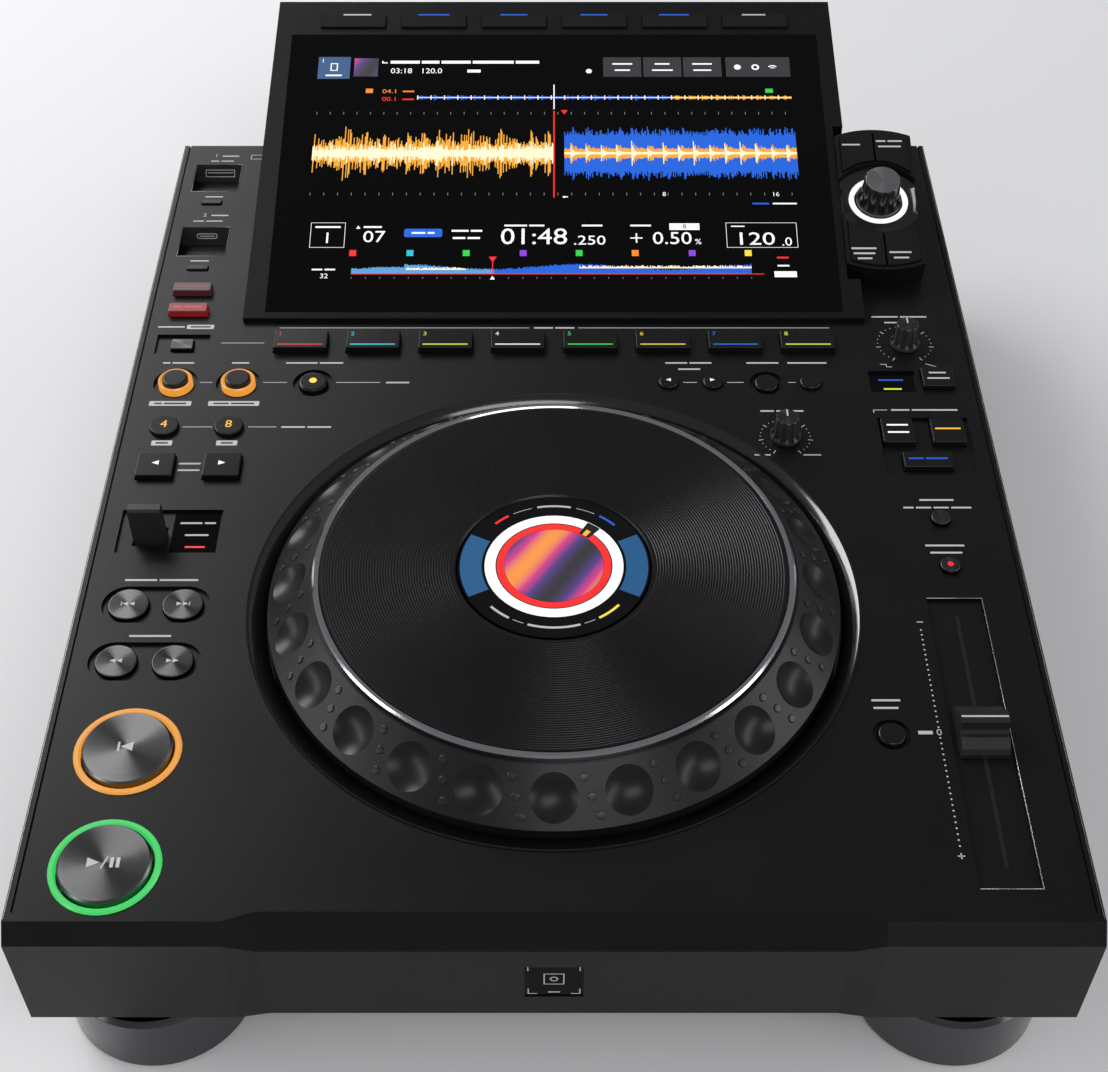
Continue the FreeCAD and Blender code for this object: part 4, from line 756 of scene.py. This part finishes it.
laid("mode_window", [rounded(122.7, 237.2, 139.7, 248.8, 0.6)], window, gloss_tile, "case")
laid("mode_window_blue", legend(125.9, 135.6, 245.0), on_window, blue_lamp, "case")
laid("mode_window_yellow", legend(127.5, 134.4, 239.8), on_window, lit("lime_lamp", (0.55, 0.75, 0.05)),
     "case")
on_key("jog_mode_mark", legend(145.2, 151.8, 245.6) + legend(144.2, 152.8, 242.4), square_top, ink, "jog_mode_key")
flat_top = 1.45
on_key("beat_sync_mark", legend(125.4, 133.4, 216.6) + legend(125.4, 133.4, 212.6), flat_top, white_lamp,
       "beat_sync_key")
on_key("master_mark", legend(143.4, 153.0, 214.6), flat_top, amber_lamp, "master_key")
on_key("key_sync_mark", legend(131.4, 145.8, 198.3, (2, 3)), flat_top, blue_lamp, "key_sync_key")
on_key("master_tempo_light", [disc(138.9, 144.3, 1.1)], 1.85, red_lamp, "master_tempo_key")
on_key("call_back_arrow", [triangle(44.2, 242.4, 1.9, -1)], flat_top, white_lamp, "call_back_key")
on_key("call_forward_arrow", [triangle(61.3, 242.4, 1.9)], flat_top, white_lamp, "call_forward_key")


# Hot cue pads
# Eight wide gloss keys with a pale number at the upper left and a lit bar near the front, each
# in its own colour.

pads = ["hot_cue_pad_" + letter for letter in "abcdefgh"]
pad_pitch = 28.57
pad_top = 2.85
dress(moulded("pad_gloss", (0.006, 0.006, 0.0064), 0.22, 0.06, shine=0.25), *pads)
pad_lights = ((0.40, 0.012, 0.015), (0.02, 0.42, 0.50), (0.42, 0.62, 0.03), (0.62, 0.64, 0.66),
              (0.02, 0.50, 0.08), (0.62, 0.48, 0.03), (0.02, 0.10, 0.55), (0.50, 0.60, 0.02))
for index, (body, tone) in enumerate(zip(pads, pad_lights)):
    x = (index - 3.5) * pad_pitch
    lamp = lit("pad_light_" + body[-1], tone)
    on_key(body + "_bar", [rounded(x - 8.9, 261.6, x + 8.9, 262.3, 0.3)], pad_top, lamp, body)
    on_key(body + "_number", figures(str(index + 1), x - 8.2, 268.3, 2.3), pad_top, lamp, body)


# Tempo fader
# A satin grey cap with a ridge across its middle slides on a flat stem. A white line crosses
# the ridge, and a bright metal bead along the rear, right and front edges of the bay is a painted highlight.

dress(moulded("fader_grey", (0.018, 0.018, 0.019), 0.3, 0.15), "tempo_fader")
fader_top, bay_floor = deck(8.53), deck(-1.17)
laid("fader_cap_line", [bar(130.6, 70.65, 145.8, 71.35)], fader_top, ink, "tempo_fader")
laid("fader_slot_shade", [bar(137.4, 19.6, 139.0, 122.4)], bay_floor, dark_lamp, "case")
# Painted highlight: a bright metal bead along the rear, right and front edges of the bay
bay_edge = [(128.6, 129.7, -0.05), (147.8, 129.7, -0.05), (147.8, 11.4, -0.05), (128.6, 11.4, -0.05)]
wire("fader_bay_highlight", bay_edge, 0.22, moulded("painted_bay_highlight", (0.5, 0.5, 0.52), 0.2, 0.05, metal=1.0),
     "case")


# Jog speed and jog feel knobs
# Two small fluted knobs of satin plastic on steel shafts, each with a pale pointer line.

dress(moulded("knob_satin", (0.035, 0.035, 0.037), 0.32, 0.12), *knobs)
disc_edge, disc_top, pointer_top = 10.41, 10.46, 10.56
for node, (x, y) in knobs.items():
    on_key(node + "_pointer", [bar(x - 0.3, y + 0.2, x + 0.3, y + 3.7)], pointer_top, ink, node)
    lathe(node + "_top", [(3.9, disc_edge), (3.7, disc_top), (0.01, disc_top)], x, y, spun_small, node,
          32)


# Screen unit
# A satin moulding leans back over the deck and holds a bonded glass panel. Six gloss keys
# stand above the glass, with pale legends at both ends and blue ones between.

dress(moulded("screen_satin", (0.0052, 0.0053, 0.0057), 0.36, 0.2, 0.0008, shine=0.2), "screen_housing")
dress(moulded("screen_glass", (0.0015, 0.0015, 0.0018), 0.05, 0.01, 0.002, shine=0.12), "touch_screen")
dress(moulded("menu_key_black", (0.008, 0.008, 0.0085), 0.25, 0.06), "menu_keys")
glass_back, glass_high, tilt = 0.279, 0.002, math.radians(13.5)
lean = Matrix.Translation((0, front_y + glass_back, deck_z + glass_high)) @ Matrix.Rotation(tilt, 4, "X") \
    @ millimetres
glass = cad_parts["touch_screen"].data
glass_lift = max((lean.inverted() @ corner.co).z for corner in glass.vertices)


def screen(lift):
    """The plane of the glass in millimetres: x from the middle, y up the slope from its front."""
    return lean @ Matrix.Translation((0, 0, glass_lift + lift))


def on_screen(name, shapes, material, layer=0):
    laid(name, shapes, screen(0.04 + 0.05 * layer), material, "case")


key_top = lean @ Matrix.Translation((0, 0, 0.94))
menu_y = 167.6
blue_legends = []
for x, half in ((-53.4, 7.0), (-17.8, 6.0), (17.8, 6.0), (53.4, 6.6)):
    blue_legends += legend(x - half, x + half, menu_y)
laid("menu_white_legends", legend(-93.6, -81.2, menu_y) + legend(83.6, 94.0, menu_y), key_top, ink, "menu_keys")
laid("menu_blue_legends", blue_legends, key_top, blue_lamp, "menu_keys")

grey_lamp = lit("grey_lamp", (0.16, 0.16, 0.17))
tile_lamp = lit("tile_lamp", (0.030, 0.031, 0.034))
cream_lamp = lit("cream_lamp", (0.95, 0.80, 0.55))
wave_amber = lit("wave_amber", (0.80, 0.36, 0.03), glow_drift=0.2)
wave_blue = lit("wave_blue", (0.012, 0.11, 0.62), glow_drift=0.25)
sky_lamp = lit("sky_lamp", (0.10, 0.30, 0.60))
green_lamp = lit("green_lamp", (0.03, 0.55, 0.07))
violet_lamp = lit("violet_lamp", (0.22, 0.05, 0.60))
cyan_lamp = lit("cyan_lamp", (0.02, 0.45, 0.60))
orange_lamp = lit("orange_lamp", (0.90, 0.22, 0.02))

# Top row: player tile, picture tile, title bars and function tiles
on_screen("ui_player_tile", [bar(-103, 129.8, -89, 142.8)], lit("player_tile", (0.035, 0.09, 0.20)))
on_screen("ui_player_tile_signs", figures("1", -101.0, 140.4, 2.2) + frame_of(-97.6, 134.5, -94.4, 139.0, 0.5)
          + legend(-99.5, -92.4, 131.8, (2,), 0.9), white_lamp, 1)
on_screen("ui_picture_tile", [bar(-87.3, 131.2, -76.8, 142.0)], picture)
on_screen("ui_top_tiles", [bar(x0, 131.0, x1, 142.6)
                           for x0, x1 in ((21.5, 38.1), (39.0, 55.6), (56.4, 73.1), (75.0, 103.0))], tile_lamp)
on_screen("ui_title", [bar(-75.2, 139.0, -74.6, 140.4), bar(-74.6, 139.0, -72.8, 139.6)]
          + legend(-71.5, -6.5, 139.7, (5, 3, 5, 7, 4), 1.7) + figures("03:18   120.0", -60.0, 134.4, 3.0)
          + legend(-37.8, -32.0, 134.4, (1,), 1.7), white_lamp)
on_screen("ui_tile_signs", legend(25.5, 34.2, 138.6) + legend(26.5, 33.2, 134.9) + legend(44.0, 50.5, 138.6)
          + legend(42.8, 51.8, 134.9) + legend(60.4, 69.0, 138.6) + legend(60.8, 68.6, 134.9)
          + [disc(80.1, 136.7, 1.5)] + band(87.9, 136.7, 0.9, 1.7, 0, 360, 20)
          + band(95.4, 135.4, 1.9, 2.5, 40, 140, 20) + band(95.4, 135.4, 0.8, 1.3, 40, 140, 20)
          + [disc(15.2, 134.3, 1.3)], white_lamp, 1)

# Overview strip
dice = random.Random(11)
stroke_pitch = 0.43
strip_y, strip_beat = 118.8, 5.8
wave_y, wave_beat = 87.0, 6.55
wave_left = -102.4


def wave(x0, x1, middle, height, below=True):
    """Upright strokes side by side, as a level display draws them."""
    shapes = []
    x = x0
    while x < x1:
        tall = height(x)
        shapes.append(bar(x, middle - (tall if below else 0), x + stroke_pitch * 0.96, middle + tall))
        x += stroke_pitch
    return shapes


def beat(x, pitch, sharp):
    return math.exp(-((x % pitch) / pitch) * sharp)


on_screen("ui_overview_blue",
          wave(-59.1, 51.0, strip_y, lambda x: 0.5 + 1.5 * beat(x, strip_beat, 3) * dice.random()), wave_blue)
on_screen("ui_overview_orange",
          wave(51.0, 102.5, strip_y, lambda x: 0.4 + 1.2 * beat(x, strip_beat, 2) * dice.random()), wave_amber)
on_screen("ui_overview_core", [bar(-59.1, 118.6, 102.5, 119.0)]
          + [bar(-59.1 + 5.77 * count, 117.6, -58.6 + 5.77 * count, 120.0) for count in range(28)], cream_lamp, 1)
on_screen("ui_overview_red", figures("00.1", -71.0, 117.9, 2.3, 1.2) + [bar(-65.5, 117.4, -60.5, 118.2)], red_lamp)
on_screen("ui_overview_amber", figures("04.1", -71.0, 122.4, 2.3, 1.2) + [bar(-65.5, 122.0, -60.5, 122.8),
          bar(-81.5, 121.5, -78.4, 124.0)], orange_lamp)
on_screen("ui_overview_green", [bar(91.5, 121.6, 94.8, 124.0)], green_lamp)

# Main wave, with its marks and the place line


def left_wave(x):
    peak = 3.5 + 10.0 * beat(x - wave_left, wave_beat, 1.5)
    return (4.2 + peak * dice.random() ** 1.5) * (0.9 + 0.1 * math.sin(x * 0.13))


def left_core(x):
    peak = 1.5 + 5.0 * beat(x - wave_left, wave_beat, 1.8)
    return 1.5 + peak * dice.random() ** 1.3 + max(0, (x + 30) / 30)


def right_wave(x):
    return (11.0 + 4.6 * dice.random() ** 1.4) * (0.84 + 0.16 * beat(x, wave_beat, 1.6))


def right_core(x):
    return 2.2 + 4.6 * beat(x, wave_beat, 2.2) * dice.random()


def right_peaks(x):
    return 0.6 + 7.5 * beat(x, wave_beat, 9.0) * (0.5 + 0.5 * dice.random())


on_screen("ui_wave_amber", wave(wave_left, -0.4, wave_y, left_wave), wave_amber)
on_screen("ui_wave_cream", wave(wave_left, -0.4, wave_y, left_core), cream_lamp, 1)
on_screen("ui_wave_blue", wave(4.4, 102.8, wave_y, right_wave), wave_blue)
on_screen("ui_wave_orange", wave(4.4, 102.8, wave_y, right_core), wave_amber, 1)
on_screen("ui_wave_white", wave(4.4, 102.8, wave_y, right_peaks), cream_lamp, 2)
on_screen("ui_wave_ticks", [bar(-102.0 + 5.75 * count, low, -101.7 + 5.75 * count, low + 1.5)
                            for count in range(36) for low in (109.0, 63.8)], grey_lamp)
on_screen("ui_place_line", [bar(-0.3, 62.5, 0.3, 111.0)], red_lamp, 3)
on_screen("ui_place_line_top", [bar(-0.25, 112.0, 0.25, 126.2), bar(3.6, 62.6, 5.8, 63.2), triangle(4.7, 62.9, 1.4)],
          white_lamp, 3)
on_screen("ui_place_flag", [[(2.9, 111.4), (5.9, 111.4), (4.4, 108.9)]], red_lamp, 3)
on_screen("ui_wave_numbers", figures("8", 46.0, 64.4, 2.2) + figures("16", 92.5, 64.4, 2.2)
          + legend(91.0, 101.0, 59.4, (1,), 0.8), white_lamp)
on_screen("ui_wave_blue_word", legend(82.5, 89.5, 59.4, (1,), 0.8), wave_blue)

# Row of figures
on_screen("ui_boxes", frame_of(-100.3, 36.0, -86.0, 49.2, 0.2) + frame_of(70.9, 36.0, 100.1, 49.2, 0.2), white_lamp)
on_screen("ui_box_figures", legend(-98.4, -88.0, 46.8, (1,), 0.9) + figures("1", -93.2, 40.8, 5.6)
          + legend(-78.5, -71.0, 46.8, (1,), 0.9) + [[(-81.6, 45.9), (-79.8, 45.9), (-80.7, 47.6)]]
          + figures("07", -74.0, 41.4, 6.0, 1.1) + figures("01:48", -8.2, 41.4, 8.4, 1.05)
          + figures(".250", 14.6, 39.6, 4.8, 1.15) + legend(-20.5, -4.0, 47.6, (3, 2), 0.9)
          + legend(11.5, 20.0, 47.6, (1,), 0.9) + legend(31.5, 40.0, 47.6, (1,), 0.9)
          + [bar(31.4, 40.7, 36.4, 41.3), bar(33.6, 38.5, 34.2, 43.5)] + figures("0.50", 48.6, 40.6, 6.4, 1.05)
          + figures("%", 59.2, 39.0, 2.8) + figures("120", 82.6, 40.3, 6.6, 1.2) + figures(".0", 95.6, 38.9, 4.4)
          + legend(73.0, 78.6, 47.2, (1,), 0.6) + legend(-42.2, -29.6, 44.8, (3, 2), 1.0)
          + legend(-41.6, -30.4, 41.0, (2, 2), 1.0), white_lamp, 1)
on_screen("ui_blue_pill", [rounded(-61.7, 41.5, -46.0, 45.9, 1.0)], wave_blue)
on_screen("ui_blue_pill_word", legend(-58.6, -49.2, 43.7, (2, 1), 0.9), white_lamp, 1)
on_screen("ui_white_box", [bar(47.6, 45.3, 60.0, 48.8)], white_lamp)
on_screen("ui_white_box_figures", figures("8", 53.8, 47.0, 2.4), dark_lamp, 1)

# Lower overview with coloured tags
tags = ((-82.3, red_lamp, "a"), (-58.9, cyan_lamp, "b"), (-35.9, green_lamp, "c"), (-12.6, violet_lamp, "d"),
        (10.3, green_lamp, "e"), (33.2, orange_lamp, "f"), (56.5, violet_lamp, "g"), (79.4, yellow_lamp, "h"))
for x, lamp, label in tags:
    on_screen("ui_tag_" + label, [bar(x - 1.4, 31.6, x + 1.4, 34.7)], lamp)


def low_wave(x):
    swell = 1.6 + 2.6 * (0.5 + 0.5 * math.sin((x + 82.4) * 0.085))
    return (swell + 0.9 * dice.random()) * (0.7 if x < -61 else 1.0)


on_screen("ui_low_grey", wave(-82.4, -24.6, 22.6, low_wave, False), sky_lamp)
on_screen("ui_low_blue", wave(-24.6, 80.1, 22.6, low_wave, False), wave_blue)
on_screen("ui_low_cream", wave(-60.4, -36.0, 24.4, lambda x: 0.4 + 1.0 * dice.random(), False)
          + wave(10.3, 80.1, 25.2, lambda x: 0.4 + 1.2 * dice.random(), False), cream_lamp, 1)
on_screen("ui_low_line", [bar(-82.4, 22.1, 85.4, 22.5)], red_lamp, 1)
on_screen("ui_low_ticks", [bar(-82.4 + 5.8 * count, 19.9, -82.1 + 5.8 * count, 20.7) for count in range(29)],
          grey_lamp)
on_screen("ui_low_marker", [[(-26.6, 31.2), (-23.4, 31.2), (-25.0, 28.2)], bar(-25.2, 22.5, -24.8, 29.0)],
          red_lamp, 2)
on_screen("ui_low_marker_foot", [[(-26.0, 19.4), (-24.0, 19.4), (-25.0, 21.3)]], white_lamp, 2)
on_screen("ui_side_words", legend(-98.5, -89.0, 24.6, (2, 2), 0.8) + figures("32", -93.4, 21.2, 2.4)
          + legend(91.0, 95.8, 26.6, (1,), 0.8) + legend(89.5, 98.6, 22.2, (1,), 3.0), white_lamp)
on_screen("ui_red_word", legend(91.0, 95.8, 30.8, (1,), 0.9), red_lamp)


# Selector pod
# A raised bar on the slope carries four keys round a spun dish. A lit ring and a fluted knob
# with a spun metal top stand in the dish.

dress(moulded("pod_satin", (0.006, 0.006, 0.0065), 0.28, 0.12), "selector_pod")
dress(moulded("pod_key_black", (0.0065, 0.0065, 0.007), 0.22, 0.06), "pod_rear_keys", "pod_front_keys")
browse_x, browse_y = 135.2, 61.5
dish = lathe("pod_dish", [(18.3, -0.35), (17.2, -0.43), (12.5, -0.43)], browse_x, browse_y,
             spun("spun_dish", (0.07, 0.07, 0.073), 0.26, 0.92), "case", 96, lean)
# The dish is wider than the flat of the pod, so both of its sides are cut off straight
pod_left, pod_right = 0.1195, 0.1509
for corner in dish.data.vertices:
    corner.co.x = min(max(corner.co.x, pod_left), pod_right)
pod_top = lean @ Matrix.Translation((0, 0, 2.54))
laid("pod_rear_marks", legend(121.8, 129.4, 89.6) + legend(136.3, 147.3, 91.6, (2, 3), 0.9)
     + legend(137.0, 146.6, 88.6, (1,), 0.9), pod_top, ink, "pod_rear_keys")
laid("pod_front_marks", legend(121.3, 131.5, 33.6, (1,), 0.9) + legend(122.0, 130.8, 31.0, (1,), 0.9)
     + legend(123.5, 129.4, 28.4, (1,), 0.9) + legend(136.6, 145.6, 31.6, (1,), 0.9)
     + legend(138.2, 144.4, 28.8, (1,), 0.9), pod_top, ink, "pod_front_keys")
dress(moulded("browse_gloss", (0.02, 0.02, 0.021), 0.18, 0.05, coat=0.3), "browse_knob")
browse_top = max((lean.inverted() @ corner.co).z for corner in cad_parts["browse_knob"].data.vertices)
lathe("browse_cap", [(7.0, browse_top + 0.02), (6.8, browse_top + 0.12), (0.02, browse_top + 0.12)],
      browse_x, browse_y, spun("spun_browse", (0.34, 0.34, 0.35), 0.2, 0.95), "browse_knob", 48, lean)
